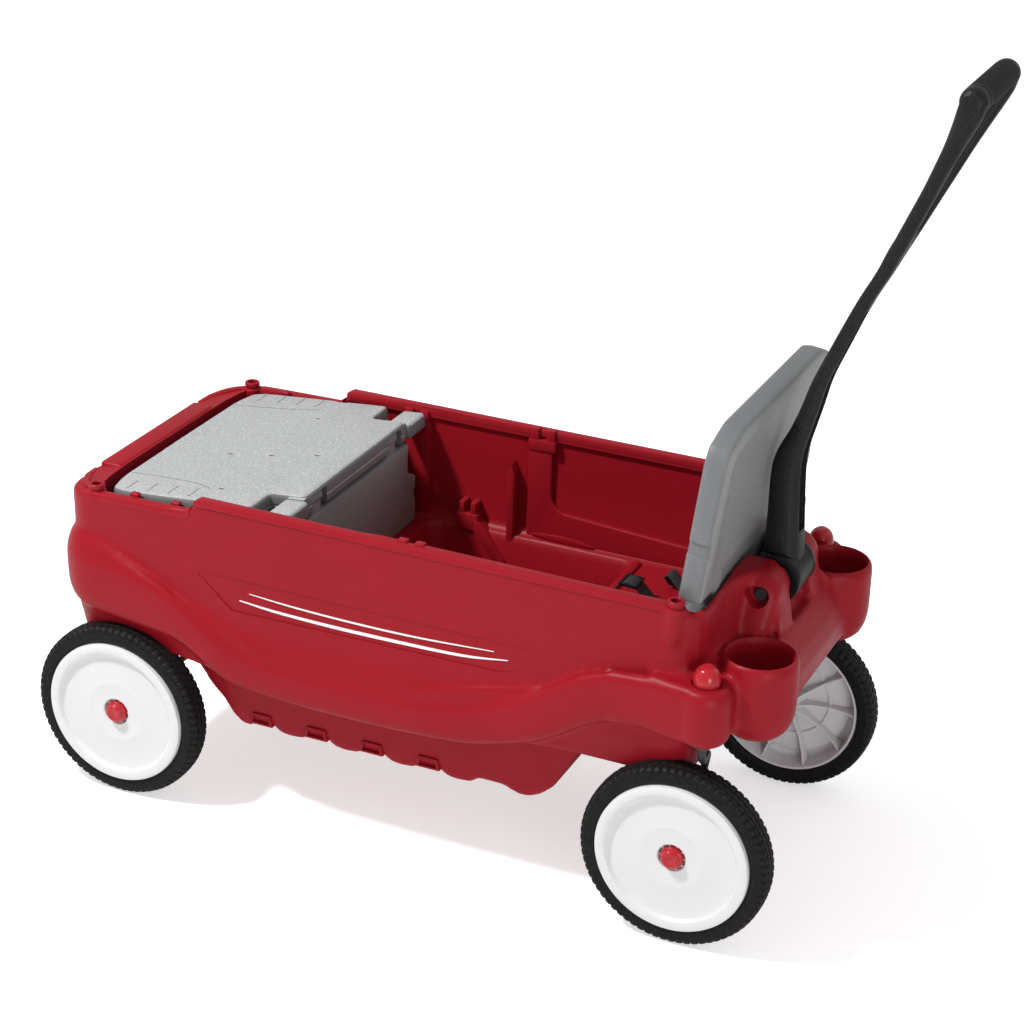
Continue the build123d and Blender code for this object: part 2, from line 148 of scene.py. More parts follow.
def block(name, x, y, z, width=0, segments=2):
    size = Vector((x[1] - x[0], y[1] - y[0], z[1] - z[0]))
    middle = Vector((x[0] + x[1], y[0] + y[1], z[0] + z[1])) / 2
    clearSelection()
    bpy.ops.mesh.primitive_cube_add(size=1, location=middle, scale=size)
    piece = bpy.context.object
    piece.name = name
    bpy.ops.object.transform_apply(location=True, rotation=True, scale=True)
    if width:
        soften(piece, width, segments)
    return piece


def rod(name, start, end, radius, sides=24):
    start, end = Vector(start), Vector(end)
    clearSelection()
    bpy.ops.mesh.primitive_cylinder_add(vertices=sides, radius=radius, depth=(end - start).length)
    piece = bpy.context.object
    piece.name = name
    lean = (end - start).to_track_quat("Z", "Y").to_matrix().to_4x4()
    piece.data.transform(Matrix.Translation((start + end) / 2) @ lean)
    return piece


def span(side, near, far):
    # from near to far on one side of the wagon, low end first
    return sorted((side * near, side * far))


def applyLast(piece):
    pick(piece)
    bpy.ops.object.modifier_apply(modifier=piece.modifiers[-1].name)


def soften(piece, width, segments=2, angle=30):
    pick(piece)
    bpy.ops.object.modifier_add(type="BEVEL")
    edge = piece.modifiers[-1]
    edge.width = width
    edge.segments = segments
    edge.limit_method = "ANGLE"
    edge.angle_limit = math.radians(angle)
    applyLast(piece)
    return piece


def carve(piece, tool, operation="DIFFERENCE"):
    pick(piece)
    bpy.ops.object.modifier_add(type="BOOLEAN")
    cutter = piece.modifiers[-1]
    cutter.operation = operation
    cutter.solver = "EXACT"
    cutter.object = tool
    applyLast(piece)
    bpy.data.objects.remove(tool)
    return piece


def join(name, *pieces):
    pick(*pieces)
    if len(pieces) > 1:
        bpy.ops.object.join()
    bpy.context.object.name = name
    return bpy.context.object


def melt(piece, voxel, rounds, factor=0.5):
    pick(piece)
    piece.data.remesh_voxel_size = voxel
    piece.data.use_remesh_preserve_volume = True
    bpy.ops.object.voxel_remesh()
    bpy.ops.object.modifier_add(type="SMOOTH")
    piece.modifiers[-1].factor = factor
    piece.modifiers[-1].iterations = rounds
    applyLast(piece)
    return piece


def copyOf(piece, name, change=None):
    twin = piece.copy()
    twin.data = piece.data.copy()
    twin.name = name
    bpy.context.scene.collection.objects.link(twin)
    if change:
        twin.data.transform(change)
        if change.determinant() < 0:
            editMesh(twin)
            bpy.ops.mesh.flip_normals()
            leaveEdit()
    return twin


acrossY = Matrix.Scale(-1, 4, (0, 1, 0))


def bothSides(piece, name):
    return join(name, piece, copyOf(piece, name + "Twin", acrossY))


def settle(piece, body, material, replaced=(), angle=32, name=None):
    if name:
        piece.name = name
    piece.data.transform(toRow)
    pick(piece)
    bpy.ops.object.shade_smooth_by_angle(angle=math.radians(angle))
    piece.data.materials.clear()
    piece.data.materials.append(material)
    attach(piece, body)
    if replaced:
        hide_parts(*replaced)
    return piece


def follow(table, x):
    # smooth curve through the table's points
    if x <= table[0][0]:
        return table[0][1]
    if x >= table[-1][0]:
        return table[-1][1]
    number = max(i for i, row in enumerate(table) if row[0] <= x)
    number = min(number, len(table) - 2)

    def slope(i):
        low, high = max(i - 1, 0), min(i + 1, len(table) - 1)
        return (table[high][1] - table[low][1]) / (table[high][0] - table[low][0])

    x0, y0 = table[number]
    x1, y1 = table[number + 1]
    gap = x1 - x0
    t = (x - x0) / gap
    m0, m1 = slope(number) * gap, slope(number + 1) * gap
    return ((2 * t ** 3 - 3 * t ** 2 + 1) * y0 + (t ** 3 - 2 * t ** 2 + t) * m0
            + (3 * t ** 2 - 2 * t ** 3) * y1 + (t ** 3 - t ** 2) * m1)


def arc(cx, cy, rx, ry, start, end, count):
    points = []
    for number in range(count + 1):
        turn = math.radians(start + (end - start) * number / count)
        points.append((cx + rx * math.cos(turn), cy + ry * math.sin(turn)))
    return points


def wholeRing(half):
    # half outline from the front middle to the tail middle, closed by its mirror image
    return half + [(x, -y) for x, y in reversed(half)]


def inset(outline, depths):
    # move each point of a closed outline inwards by its own depth
    moved = []
    count = len(outline)
    for number, (x, y) in enumerate(outline):
        before, after = outline[number - 1], outline[(number + 1) % count]
        along = Vector((after[0] - before[0], after[1] - before[1])).normalized()
        moved.append((x - along.y * depths[number], y + along.x * depths[number]))
    return moved


# shading helpers
def newGroup(name, inputs, outputs):
    tree = bpy.data.node_groups.new(name, "ShaderNodeTree")
    for label, kind, value in inputs:
        socket = tree.interface.new_socket(label, in_out="INPUT", socket_type=kind)
        if value is not None:
            socket.default_value = value
    for label, kind in outputs:
        tree.interface.new_socket(label, in_out="OUTPUT", socket_type=kind)
    return tree, tree.nodes.new("NodeGroupInput"), tree.nodes.new("NodeGroupOutput")


def addNode(tree, kind, values=None, **links):
    node = tree.nodes.new(kind)
    for key, value in (values or {}).items():
        if key in node.inputs:
            node.inputs[key].default_value = value
        else:
            setattr(node, key, value)
    for key, source in links.items():
        label = key.replace("_", " ")
        numbered = label[0] == "n" and label[1:].isdigit()
        target = node.inputs[int(label[1:]) if numbered else label]
        tree.links.new(source, target)
    return node


# pebble grain: a fine moulded texture as a normal
def buildGrain():
    tree, given, made = newGroup("mouldGrain", [
        ("Place", "NodeSocketVector", None), ("Size", "NodeSocketFloat", 900.0),
        ("Depth", "NodeSocketFloat", 0.2)], [("Normal", "NodeSocketVector")])
    fine = addNode(tree, "ShaderNodeTexNoise", {"Detail": 3.0, "Roughness": 0.55},
                   Vector=given.outputs["Place"], Scale=given.outputs["Size"])
    half = addNode(tree, "ShaderNodeMath", {"operation": "MULTIPLY"}, n0=given.outputs["Size"])
    half.inputs[1].default_value = 0.45
    cells = addNode(tree, "ShaderNodeTexVoronoi", {"feature": "SMOOTH_F1"},
                    Vector=given.outputs["Place"], Scale=half.outputs[0])
    both = addNode(tree, "ShaderNodeMath", {"operation": "ADD"}, n0=fine.outputs["Fac"],
                   n1=cells.outputs["Distance"])
    bump = addNode(tree, "ShaderNodeBump", {"Distance": 0.0004}, Strength=given.outputs["Depth"],
                   Height=both.outputs[0])
    tree.links.new(bump.outputs["Normal"], made.inputs["Normal"])
    return tree


# cloudy change between two values, for sheen and colour
def buildClouds():
    tree, given, made = newGroup("softClouds", [
        ("Place", "NodeSocketVector", None), ("Size", "NodeSocketFloat", 12.0),
        ("Low", "NodeSocketFloat", 0.4), ("High", "NodeSocketFloat", 0.5)],
        [("Value", "NodeSocketFloat")])
    cloud = addNode(tree, "ShaderNodeTexNoise", {"Detail": 4.0, "Roughness": 0.6},
                    Vector=given.outputs["Place"], Scale=given.outputs["Size"])
    spread = addNode(tree, "ShaderNodeMapRange", {"From Min": 0.3, "From Max": 0.7},
                     Value=cloud.outputs["Fac"])
    tree.links.new(given.outputs["Low"], spread.inputs["To Min"])
    tree.links.new(given.outputs["High"], spread.inputs["To Max"])
    tree.links.new(spread.outputs["Result"], made.inputs["Value"])
    return tree


# colour with a slow drift, small flecks and paler edges, partly rubbed wear and partly a painted highlight
def buildTint():
    tree, given, made = newGroup("mouldedColour", [
        ("Place", "NodeSocketVector", None), ("Main", "NodeSocketColor", (0.5, 0.5, 0.5, 1)),
        ("Deep", "NodeSocketColor", (0.3, 0.3, 0.3, 1)), ("Fleck", "NodeSocketColor", (1, 1, 1, 1)),
        ("Fleck Size", "NodeSocketFloat", 700.0), ("Fleck Amount", "NodeSocketFloat", 0.1),
        ("Rub And Highlight", "NodeSocketFloat", 0.15)], [("Color", "NodeSocketColor")])
    slow = addNode(tree, "ShaderNodeTexNoise", {"Scale": 7.0, "Detail": 3.0},
                   Vector=given.outputs["Place"])
    drift = addNode(tree, "ShaderNodeMapRange", {"From Min": 0.35, "From Max": 0.7, "To Max": 0.5},
                    Value=slow.outputs["Fac"])
    body = addNode(tree, "ShaderNodeMix", {"data_type": "RGBA"})
    tree.links.new(drift.outputs["Result"], body.inputs[0])
    tree.links.new(given.outputs["Main"], body.inputs[6])
    tree.links.new(given.outputs["Deep"], body.inputs[7])
    dots = addNode(tree, "ShaderNodeTexNoise", {"Detail": 2.0, "Roughness": 0.7},
                   Vector=given.outputs["Place"], Scale=given.outputs["Fleck Size"])
    mask = addNode(tree, "ShaderNodeMapRange", {"From Min": 0.5, "From Max": 0.66},
                   Value=dots.outputs["Fac"])
    amount = addNode(tree, "ShaderNodeMath", {"operation": "MULTIPLY"}, n0=mask.outputs["Result"],
                     n1=given.outputs["Fleck Amount"])
    flecked = addNode(tree, "ShaderNodeMix", {"data_type": "RGBA"})
    tree.links.new(amount.outputs[0], flecked.inputs[0])
    tree.links.new(body.outputs[2], flecked.inputs[6])
    tree.links.new(given.outputs["Fleck"], flecked.inputs[7])
    # edges are paled towards the fleck colour by pointiness: rubbed wear plus a painted highlight
    shape = addNode(tree, "ShaderNodeNewGeometry")
    ridge = addNode(tree, "ShaderNodeMapRange", {"From Min": 0.52, "From Max": 0.62},
                    Value=shape.outputs["Pointiness"])
    rubAndHighlightMask = addNode(tree, "ShaderNodeMath", {"operation": "MULTIPLY"}, n0=ridge.outputs["Result"],
                     n1=given.outputs["Rub And Highlight"])
    whole = addNode(tree, "ShaderNodeMix", {"data_type": "RGBA"})
    tree.links.new(rubAndHighlightMask.outputs[0], whole.inputs[0])
    tree.links.new(flecked.outputs[2], whole.inputs[6])
    tree.links.new(given.outputs["Fleck"], whole.inputs[7])
    tree.links.new(whole.outputs[2], made.inputs["Color"])
    return tree


grainGroup, cloudGroup, tintGroup = buildGrain(), buildClouds(), buildTint()


def placeGroup(tree, group, values, **links):
    node = tree.nodes.new("ShaderNodeGroup")
    node.node_tree = group
    for key, value in values.items():
        node.inputs[key].default_value = value
    for key, source in links.items():
        tree.links.new(source, node.inputs[key])
    return node


def colouredMaterial(name, look):
    material = bpy.data.materials.new(name)
    material.use_nodes = True
    tree = material.node_tree
    shader = tree.nodes["Principled BSDF"]
    place = tree.nodes.new("ShaderNodeTexCoord").outputs["Object"]
    tint = placeGroup(tree, tintGroup, {
        "Main": (*look["main"], 1), "Deep": (*look["deep"], 1), "Fleck": (*look["fleck"], 1),
        "Fleck Size": look.get("fleckSize", 700.0), "Fleck Amount": look.get("flecks", 0.1),
        "Rub And Highlight": look.get("rubAndHighlight", 0.1)}, Place=place)
    tree.links.new(tint.outputs["Color"], shader.inputs["Base Color"])
    return material, tree, shader, place


def addSheen(tree, shader, place, size, rough):
    sheen = placeGroup(tree, cloudGroup, {"Size": size, "Low": rough[0], "High": rough[1]},
                       Place=place)
    tree.links.new(sheen.outputs["Value"], shader.inputs["Roughness"])


def mouldedMaterial(name, look):
    material, tree, shader, place = colouredMaterial(name, look)
    addSheen(tree, shader, place, look.get("cloudSize", 14.0), look["rough"])
    grain = placeGroup(tree, grainGroup, {
        "Size": look.get("grainSize", 900.0), "Depth": look.get("grain", 0.2)}, Place=place)
    tree.links.new(grain.outputs["Normal"], shader.inputs["Normal"])
    shader.inputs["Metallic"].default_value = look.get("metal", 0.0)
    shader.inputs["Specular IOR Level"].default_value = look.get("specular", 0.5)
    shader.inputs["Coat Weight"].default_value = look.get("coat", 0.0)
    shader.inputs["Coat Roughness"].default_value = look.get("coatRough", 0.2)
    return material


# the rub amount pales the edges: partly rubbed wear, partly a painted highlight
finishes = {
    "redPlastic": {"main": (0.30, 0.006, 0.014), "deep": (0.265, 0.005, 0.011),
                   "fleck": (0.50, 0.06, 0.08), "fleckSize": 1500.0, "flecks": 0.10, "rubAndHighlight": 0.08,
                   "specular": 0.15,
                   "rough": (0.36, 0.44), "grain": 0.16, "grainSize": 1100.0},
    "redTrim": {"main": (0.44, 0.012, 0.02), "deep": (0.40, 0.010, 0.016),
                "fleck": (0.6, 0.1, 0.1), "flecks": 0.02, "rubAndHighlight": 0.05, "rough": (0.16, 0.24),
                "grain": 0.04, "coat": 0.25, "specular": 0.3},
    "greySpeckled": {"main": (0.35, 0.355, 0.36), "deep": (0.32, 0.325, 0.33),
                     "fleck": (0.66, 0.67, 0.68), "fleckSize": 520.0, "flecks": 0.75, "rubAndHighlight": 0.12,
                     "specular": 0.25,
                     "rough": (0.42, 0.52), "grain": 0.5, "grainSize": 520.0},
    "greyBack": {"main": (0.24, 0.245, 0.25), "deep": (0.21, 0.215, 0.22), "specular": 0.25,
                 "fleck": (0.5, 0.51, 0.52), "fleckSize": 700.0, "flecks": 0.22, "rubAndHighlight": 0.15,
                 "rough": (0.36, 0.44), "grain": 0.22, "grainSize": 700.0},
    "greyLeg": {"main": (0.22, 0.225, 0.23), "deep": (0.20, 0.205, 0.21), "specular": 0.25,
                "fleck": (0.45, 0.46, 0.47), "fleckSize": 700.0, "flecks": 0.25, "rubAndHighlight": 0.15,
                "rough": (0.4, 0.5), "grain": 0.25, "grainSize": 700.0},
    "greySmooth": {"main": (0.17, 0.175, 0.18), "deep": (0.15, 0.155, 0.16), "specular": 0.25,
                   "fleck": (0.4, 0.41, 0.42), "flecks": 0.08, "rubAndHighlight": 0.2, "rough": (0.34, 0.42),
                   "grain": 0.1},
    "blackPlastic": {"main": (0.009, 0.009, 0.0095), "deep": (0.007, 0.007, 0.0075), "specular": 0.18,
                     "fleck": (0.07, 0.07, 0.07), "fleckSize": 900.0, "flecks": 0.35, "rubAndHighlight": 0.05,
                     "rough": (0.38, 0.5), "grain": 0.7, "grainSize": 800.0},
    "blackSmooth": {"main": (0.006, 0.006, 0.0065), "deep": (0.005, 0.005, 0.0055), "specular": 0.15,
                    "fleck": (0.06, 0.06, 0.06), "flecks": 0.1, "rubAndHighlight": 0.1, "rough": (0.25, 0.35),
                    "grain": 0.12},
    "gripRubber": {"main": (0.011, 0.011, 0.0115), "deep": (0.008, 0.008, 0.0085), "specular": 0.15,
                   "fleck": (0.07, 0.07, 0.07), "flecks": 0.3, "rubAndHighlight": 0.08, "rough": (0.5, 0.62),
                   "grain": 0.8, "grainSize": 700.0},
    "tyre": {"main": (0.006, 0.006, 0.0062), "deep": (0.009, 0.009, 0.009), "specular": 0.13,
             "fleck": (0.06, 0.058, 0.056), "fleckSize": 300.0, "flecks": 0.15, "rubAndHighlight": 0.25,
             "rough": (0.42, 0.6), "grain": 0.45, "grainSize": 600.0},
    "whitePlastic": {"main": (0.71, 0.71, 0.715), "deep": (0.68, 0.68, 0.69), "specular": 0.3,
                     "fleck": (0.95, 0.95, 0.95), "flecks": 0.05, "rubAndHighlight": 0.1,
                     "rough": (0.3, 0.4), "grain": 0.08},
    "zincSteel": {"main": (0.62, 0.63, 0.64), "deep": (0.5, 0.5, 0.5), "fleck": (0.8, 0.8, 0.8),
                  "flecks": 0.2, "rough": (0.22, 0.36), "grain": 0.1, "metal": 1.0},
    "blackSteel": {"main": (0.02, 0.02, 0.022), "deep": (0.03, 0.03, 0.03),
                   "fleck": (0.12, 0.12, 0.12), "flecks": 0.15, "rubAndHighlight": 0.3, "rough": (0.16, 0.26),
                   "grain": 0.06, "metal": 0.0, "coat": 0.12, "specular": 0.25},
    "stripeWhite": {"main": (0.85, 0.85, 0.85), "deep": (0.8, 0.8, 0.8), "fleck": (0.9, 0.9, 0.9),
                    "flecks": 0.05, "rough": (0.3, 0.4), "grain": 0.08},
}
surface = {key: mouldedMaterial(key, look) for key, look in finishes.items()}
print("materials ready")


# the tub: one moulded skin, melted together from closed forms, then cut crisply
tub = {"wallY": 222, "bandY": 238, "tailX": -97, "frontX": 832, "skinVoxel": 4.1,
       "crease": [(-97, 384), (-60, 384), (-10, 374), (40, 352), (100, 322), (145, 290), (185, 268),
                  (240, 259), (354, 257), (440, 258), (517, 265), (575, 287), (633, 319),
                  (670, 345), (707, 365), (760, 373), (846, 376)],
       "bandLow": [(-97, 298), (-76, 276), (0, 263), (98, 252), (140, 228), (184, 207), (354, 199),
                   (518, 206), (580, 220), (636, 240), (703, 284), (740, 294), (846, 296)],
       "rimLine": [(-84, 437), (-60, 439), (-30, 443), (100, 446), (111, 447), (119, 456),
                   (127, 467), (780, 467), (795, 464), (812, 457), (832, 456)],
       "cabinWallY": 213, "lipY": 207, "middleX": 350, "evenHalf": 170,
       "notches": (498, 414, 330, 246)}
pod = {"x": 846, "y": 223}
cup = {"x": 889, "y": 151, "outer": 49.5}
tower = {"x": 856.5, "z": 437, "crown": 29.5}
bore = {"kingpin": 8.6, "post": 6.5, "rod": 5.4}


def fromMiddle(x, reach):
    # 0 along the even middle of the wagon, rising to 1 over the reach beyond it
    return min(max((abs(x - tub["middleX"]) - tub["evenHalf"]) / reach, 0), 1)


def bandBody():
    half = [(850, 0), (850, 120), (850, 205), (842, 238), (822, 252), (792, 248), (760, 244),
            (720, 241), (680, 239)]
    half += [(x, tub["bandY"]) for x in range(650, -31, -20)]
    half += arc(-37, 176, 60, 62, 96, 176, 11)[1:]
    half += [(tub["tailX"], y) for y in (150, 110, 70, 30, 0)]
    ring = wholeRing(half[:-1] + [(tub["tailX"], 4)])
    bulge = [(0, -26), (0.03, -13), (0.10, -5), (0.22, -1), (0.40, 0), (0.62, 0)]
    ends = [(0.86, -1.0), (0.95, -4.0), (1.0, -13.0)]
    tail = [(0.70, -1.0), (0.86, -6.0), (1.0, -14.0)]
    middle = [(0.80, -1.5), (0.92, -3.6), (1.0, -5.4)]
    rings = []
    for number in range(9):
        points = []
        depths = []
        heights = []
        for x, y in ring:
            low, high = follow(tub["bandLow"], x), follow(tub["crease"], x)
            if number < 6:
                share, depth = bulge[number]
            else:
                near = fromMiddle(x, 140)
                back = min(max((60 - x) / 80, 0), 1)
                share, depth = [m * (1 - near) + near * (e * (1 - back) + t * back) for m, e, t
                                in zip(middle[number - 6], ends[number - 6], tail[number - 6])]
            depths.append(-depth)
            heights.append(low + (high - low) * share)
        for (x, y), z in zip(inset(ring, depths), heights):
            points.append((x, y, z))
        rings.append(points)
    return loft("band", rings)


def upperBody():
    half = [(tub["frontX"], 5), (tub["frontX"], 90), (tub["frontX"], 150), (831, 185), (826, 202),
            (816, 214), (803, 220), (790, tub["wallY"])]
    half += [(x, tub["wallY"]) for x in range(770, 130, -20)]
    half += [(x, tub["wallY"]) for x in (127, 123, 119, 115, 111, 100, 80, 60, 40, 20, 0, -20, -36)]
    half += arc(-40, 174, 46, 48, 84, 176, 9)[1:]
    half += [(-86, y) for y in (150, 110, 70, 30, 4)]
    ring = wholeRing(half)
    rings = []
    for level, depth, swell in ((226, 10, 13), (257, 4, 11), (270, 1, 8), (285, 0.5, 4.4),
                                (300, 0.5, 1.8), (330, 0.5, 0.3), (390, 0.5, 0), (-3, 0, 0),
                                (0, 1.5, 0)):
        depths = []
        for x, y in ring:
            # the side swells towards the band along the middle of the wagon
            middle = (1 - fromMiddle(x, 130)) * (abs(y) > 150)
            depths.append(depth * (1 - middle) - swell * middle)
        points = []
        for x, y in inset(ring, depths):
            top = follow(tub["rimLine"], x)
            points.append((x, y, level if level > 0 else top + level))
        rings.append(points)
    return loft("upper", rings)


def hullBody():
    outline = [(700, 296), (696, 252), (677, 226), (652, 182), (634, 152), (618, 138), (602, 131),
               (588, 131), (576, 135), (566, 139), (530, 139)]
    for centre in tub["notches"]:
        outline += [(centre + 20, 130), (centre, 128), (centre - 14, 131), (centre - 26, 139),
                    (centre - 52, 139)]
    outline += [(186, 129), (172, 131), (158, 142), (147, 158), (143, 172), (143, 280), (160, 296)]
    rings = []
    for y, draft in ((-194, 5), (-190, 0), (190, 0), (194, 5)):
        rings.append([(x + (tub["middleX"] - x) * draft / tub["middleX"], y, z + draft * 0.4 * (z < 200))
                      for x, z in outline])
    return loft("hull", rings)


def frontBody():
    pieces = []
    rearX, wallX = 806, [(-1, 866), (60, 866), (86, 850), (100, 842), (118, 836), (145, 831),
                         (172, 826), (192, 820), (206, 811), (216, 803)]
    topZ = [(0, 466), (86, 466), (110, 463), (150, 459), (190, 456), (216, 455)]
    rings = []
    for y in [-216, -212] + list(range(-204, 205, 12)) + [212, 216]:
        x, top = follow(wallX, abs(y)), follow(topZ, abs(y))
        foot = 16 if abs(y) > 60 else 22
        rings.append([(rearX, y, 300), (x + foot + 6, y, 300), (x + foot, y, 374),
                      (x + foot * 0.45, y, 388), (x + foot * 0.15, y, 406), (x, y, 428),
                      (x - 1, y, top - 5), (x - 5, y, top), (rearX, y, top)])
    pieces.append(loft("frontWall", rings))
    deck = [(812, 296), (906, 296), (918, 303), (919, 330), (912, 352), (896, 384), (812, 388)]
    pieces.append(plate("deck", deck, "y", -128, 128))
    shelf = wholeRing([(905, 5), (905, 110), (900, 170), (884, 196), (868, 214), (862, 236),
                       (846, 252), (815, 250), (770, 240), (770, 150), (770, 5)])
    rings = []
    for z, depth in ((297, 8), (303, 2), (312, 0), (362, 0), (371, 2), (376, 8)):
        rings.append([(x, y, z) for x, y in inset(shelf, [depth] * len(shelf))])
    pieces.append(loft("shelf", rings))
    for side in (1, -1):
        x, y = pod["x"], side * pod["y"]
        profile = [(0, 292), (16, 292), (22, 296), (28, 299), (33, 307), (34.5, 320), (34.5, 358),
                   (32, 369), (27, 375), (0, 376.5)]
        pieces.append(turned("pod", profile, (x, y, 0), "z", 48, False))
        x, y = cup["x"], side * cup["y"]
        outer = cup["outer"]
        profile = [(0, 281), (18, 281.5), (32, 286), (42, 296), (47.5, 310), (outer, 326),
                   (outer, 384), (outer - 1.5, 391), (outer - 5, 395), (0, 395)]
        pieces.append(turned("cupWall", profile, (x, y, 0), "z", 56, False))
        # tower: rounded crown, outer face running out and down into the cup
        rings = []
        for y, rise, slim in ((36.5, 1, 0), (66, 1, 0), (78, 0.97, 1), (85, 0.86, 3),
                              (92, 0.62, 6), (99, 0.36, 9), (106, 0.14, 12)):
            crown = tower["crown"] - slim
            centreZ = 372 + (tower["z"] - 372) * rise
            ring = [(822, side * y, 330), (905 - slim, side * y, 330),
                    (896 - slim * 0.6, side * y, 372)]
            for ax, az in arc(tower["x"], centreZ, crown, crown, -12, 110, 10):
                ring.append((ax, side * y, az))
            ring.append((822, side * y, centreZ + crown - 4))
            rings.append(ring)
        pieces.append(loft("tower", rings))
        rib = [(873, side * 66, 430), (884, side * 80, 408), (897, side * 99, 385)]
        for start, end in zip(rib, rib[1:]):
            pieces.append(rod("rib", start, end, 4.2, 12))
        # corner post gussets and rear bosses
        profile = [(0, 392), (4, 396), (12, 425), (13.5, 452), (13.5, 466), (0, 466)]
        pieces.append(turned("gusset", profile, (797, side * 214, 0), "z", 24, False))
        profile = [(0, 372), (5, 378), (12, 408), (13, 430), (13, 445), (0, 445)]
        pieces.append(turned("boss", profile, (-35, side * 209, 0), "z", 24, False))
        leg = [(-50, 302), (50, 302), (30, 214), (19, 121), (12, 112), (-12, 112), (-19, 121),
               (-30, 214)]
        pieces.append(plate("axleLeg", leg, "y", *span(side, 166, 199)))
        # skirt that carries the hull's side back behind the wheel
        skirt = [(180, 131), (128, 178), (100, 216), (86, 250), (86, 300), (180, 300)]
        pieces.append(plate("skirt", skirt, "y", *span(side, 170, 193)))
    return pieces


def cabinCutter():
    def plan(depth, wide):
        half = [(826, 5), (826, 120), (824, 188), (818, 201), (806, wide), (640, wide), (440, wide),
                (240, wide), (100, wide), (-18, wide), (-34, wide - 9), (-43, wide - 26),
                (-48, wide - 60), (-50, 110), (-50, 5)]
        return inset(wholeRing(half), [depth] * (2 * len(half)))
    rings = []
    for z, depth, wide in ((300, 14, 208), (302, 7, 208), (307, 2, 208.5), (314, 0, 209),
                           (400, 0, 211.5), (452.5, 0, tub["cabinWallY"]), (454, 0, tub["lipY"]),
                           (485, 0, tub["lipY"])):
        rings.append([(x, y, z) for x, y in plan(depth, wide)])
    cabin = loft("cabin", rings)

    def wellRing(x0, x1, wide, z):
        half = [(x1, 5), (x1, wide - 22), (x1 - 3, wide - 11), (x1 - 11, wide - 3), (x1 - 22, wide),
                (x0 + 22, wide), (x0 + 11, wide - 3), (x0 + 3, wide - 11), (x0, wide - 22), (x0, 5)]
        return [(x, y, z) for x, y in wholeRing(half)]
    rings = [wellRing(*row) for row in (
        (290, 555, 169, 140), (284, 562, 175, 142), (281, 566, 179, 147), (276, 575, 182, 210),
        (274, 580, 188, 240), (270, 586, 192, 290), (266, 590, 196, 299), (262, 594, 199, 303))]
    well = loft("well", rings)
    return carve(cabin, well, "UNION")


def crispCutters():
    pieces = []
    for side in (1, -1):
        x, y = cup["x"], side * cup["y"]
        profile = [(0, 296), (30, 296), (37, 299), (40, 305), (41, 312), (41, 385), (42, 391),
                   (44.5, 394.5), (47, 397), (47, 420), (0, 420)]
        pieces.append(turned("cupBore", profile, (x, y, 0), "z", 64, False))
        x, y = pod["x"], side * pod["y"]
        profile = [(0, 373.2), (17, 373.2), (18.6, 374.5), (20, 378), (20, 384), (0, 384)]
        pieces.append(turned("domeSeat", profile, (x, y, 0), "z", 40, False))
        # round recess for the bolt's head, drawn out a little towards the rear
        recess = arc(861, 437, 13.4, 13.4, -150, 90, 14) + arc(850, 443, 6.6, 6.6, 100, 215, 6)
        pocket = plate("pocket", recess, "y", *span(side, 77.5, 120))
        pieces.append(soften(pocket, 2.0, 2))
        # shallow field for the side stripes
        field = [(127, 361), (178, 317.5), (571, 322), (596, 331), (618, 358), (612, 364), (133, 366)]
        pieces.append(plate("field", field, "y", *span(side, 221, 232)))
    return join("crispCuts", *pieces)


def barrelCutter():
    # room for the handle's barrel between the towers
    outline = [(822, 500), (822, 400)] + arc(862, 438, 38, 38, 228, 312, 8) + [(896, 392), (935, 392),
                                                                             (935, 500)]
    return plate("barrelRoom", outline, "y", -36.4, 36.4)


def holeCutters():
    pieces = []
    for side in (1, -1):
        pieces.append(rod("hole", (pod["x"], side * pod["y"], 280),
                          (pod["x"], side * pod["y"], 374), bore["kingpin"], 24))
        for x, y, low in ((797, 214, 444), (-35, 208, 423)):
            pieces.append(rod("hole", (x, side * y, low), (x, side * y, 500), bore["post"], 20))
        pieces.append(rod("hole", (0, side * 230, 127), (0, side * 60, 127), bore["rod"], 20))
        # open slots for the hinge rods' ends
        for x in (238, 436):
            pieces.append(block("slot", (x - bore["rod"], x + bore["rod"]), span(side, 200, 214),
                                (445, 490)))
        pieces.append(rod("slot", (800, side * 198, 424), (800, side * 212, 424), bore["rod"], 20))
    return join("holes", *pieces)


def buildTub():
    whole = join("tubShell", bandBody(), upperBody(), hullBody(), *frontBody())
    melt(whole, tub["skinVoxel"], 8)
    print("tub skin melted:", len(whole.data.polygons), "faces")
    carve(whole, cabinCutter())
    carve(whole, crispCutters())
    carve(whole, barrelCutter())
    carve(whole, holeCutters())
    print("tub cut:", len(whole.data.polygons), "faces")
    settle(whole, "wagon_body", surface["redPlastic"], ["body_shell"], 34)


buildTub()


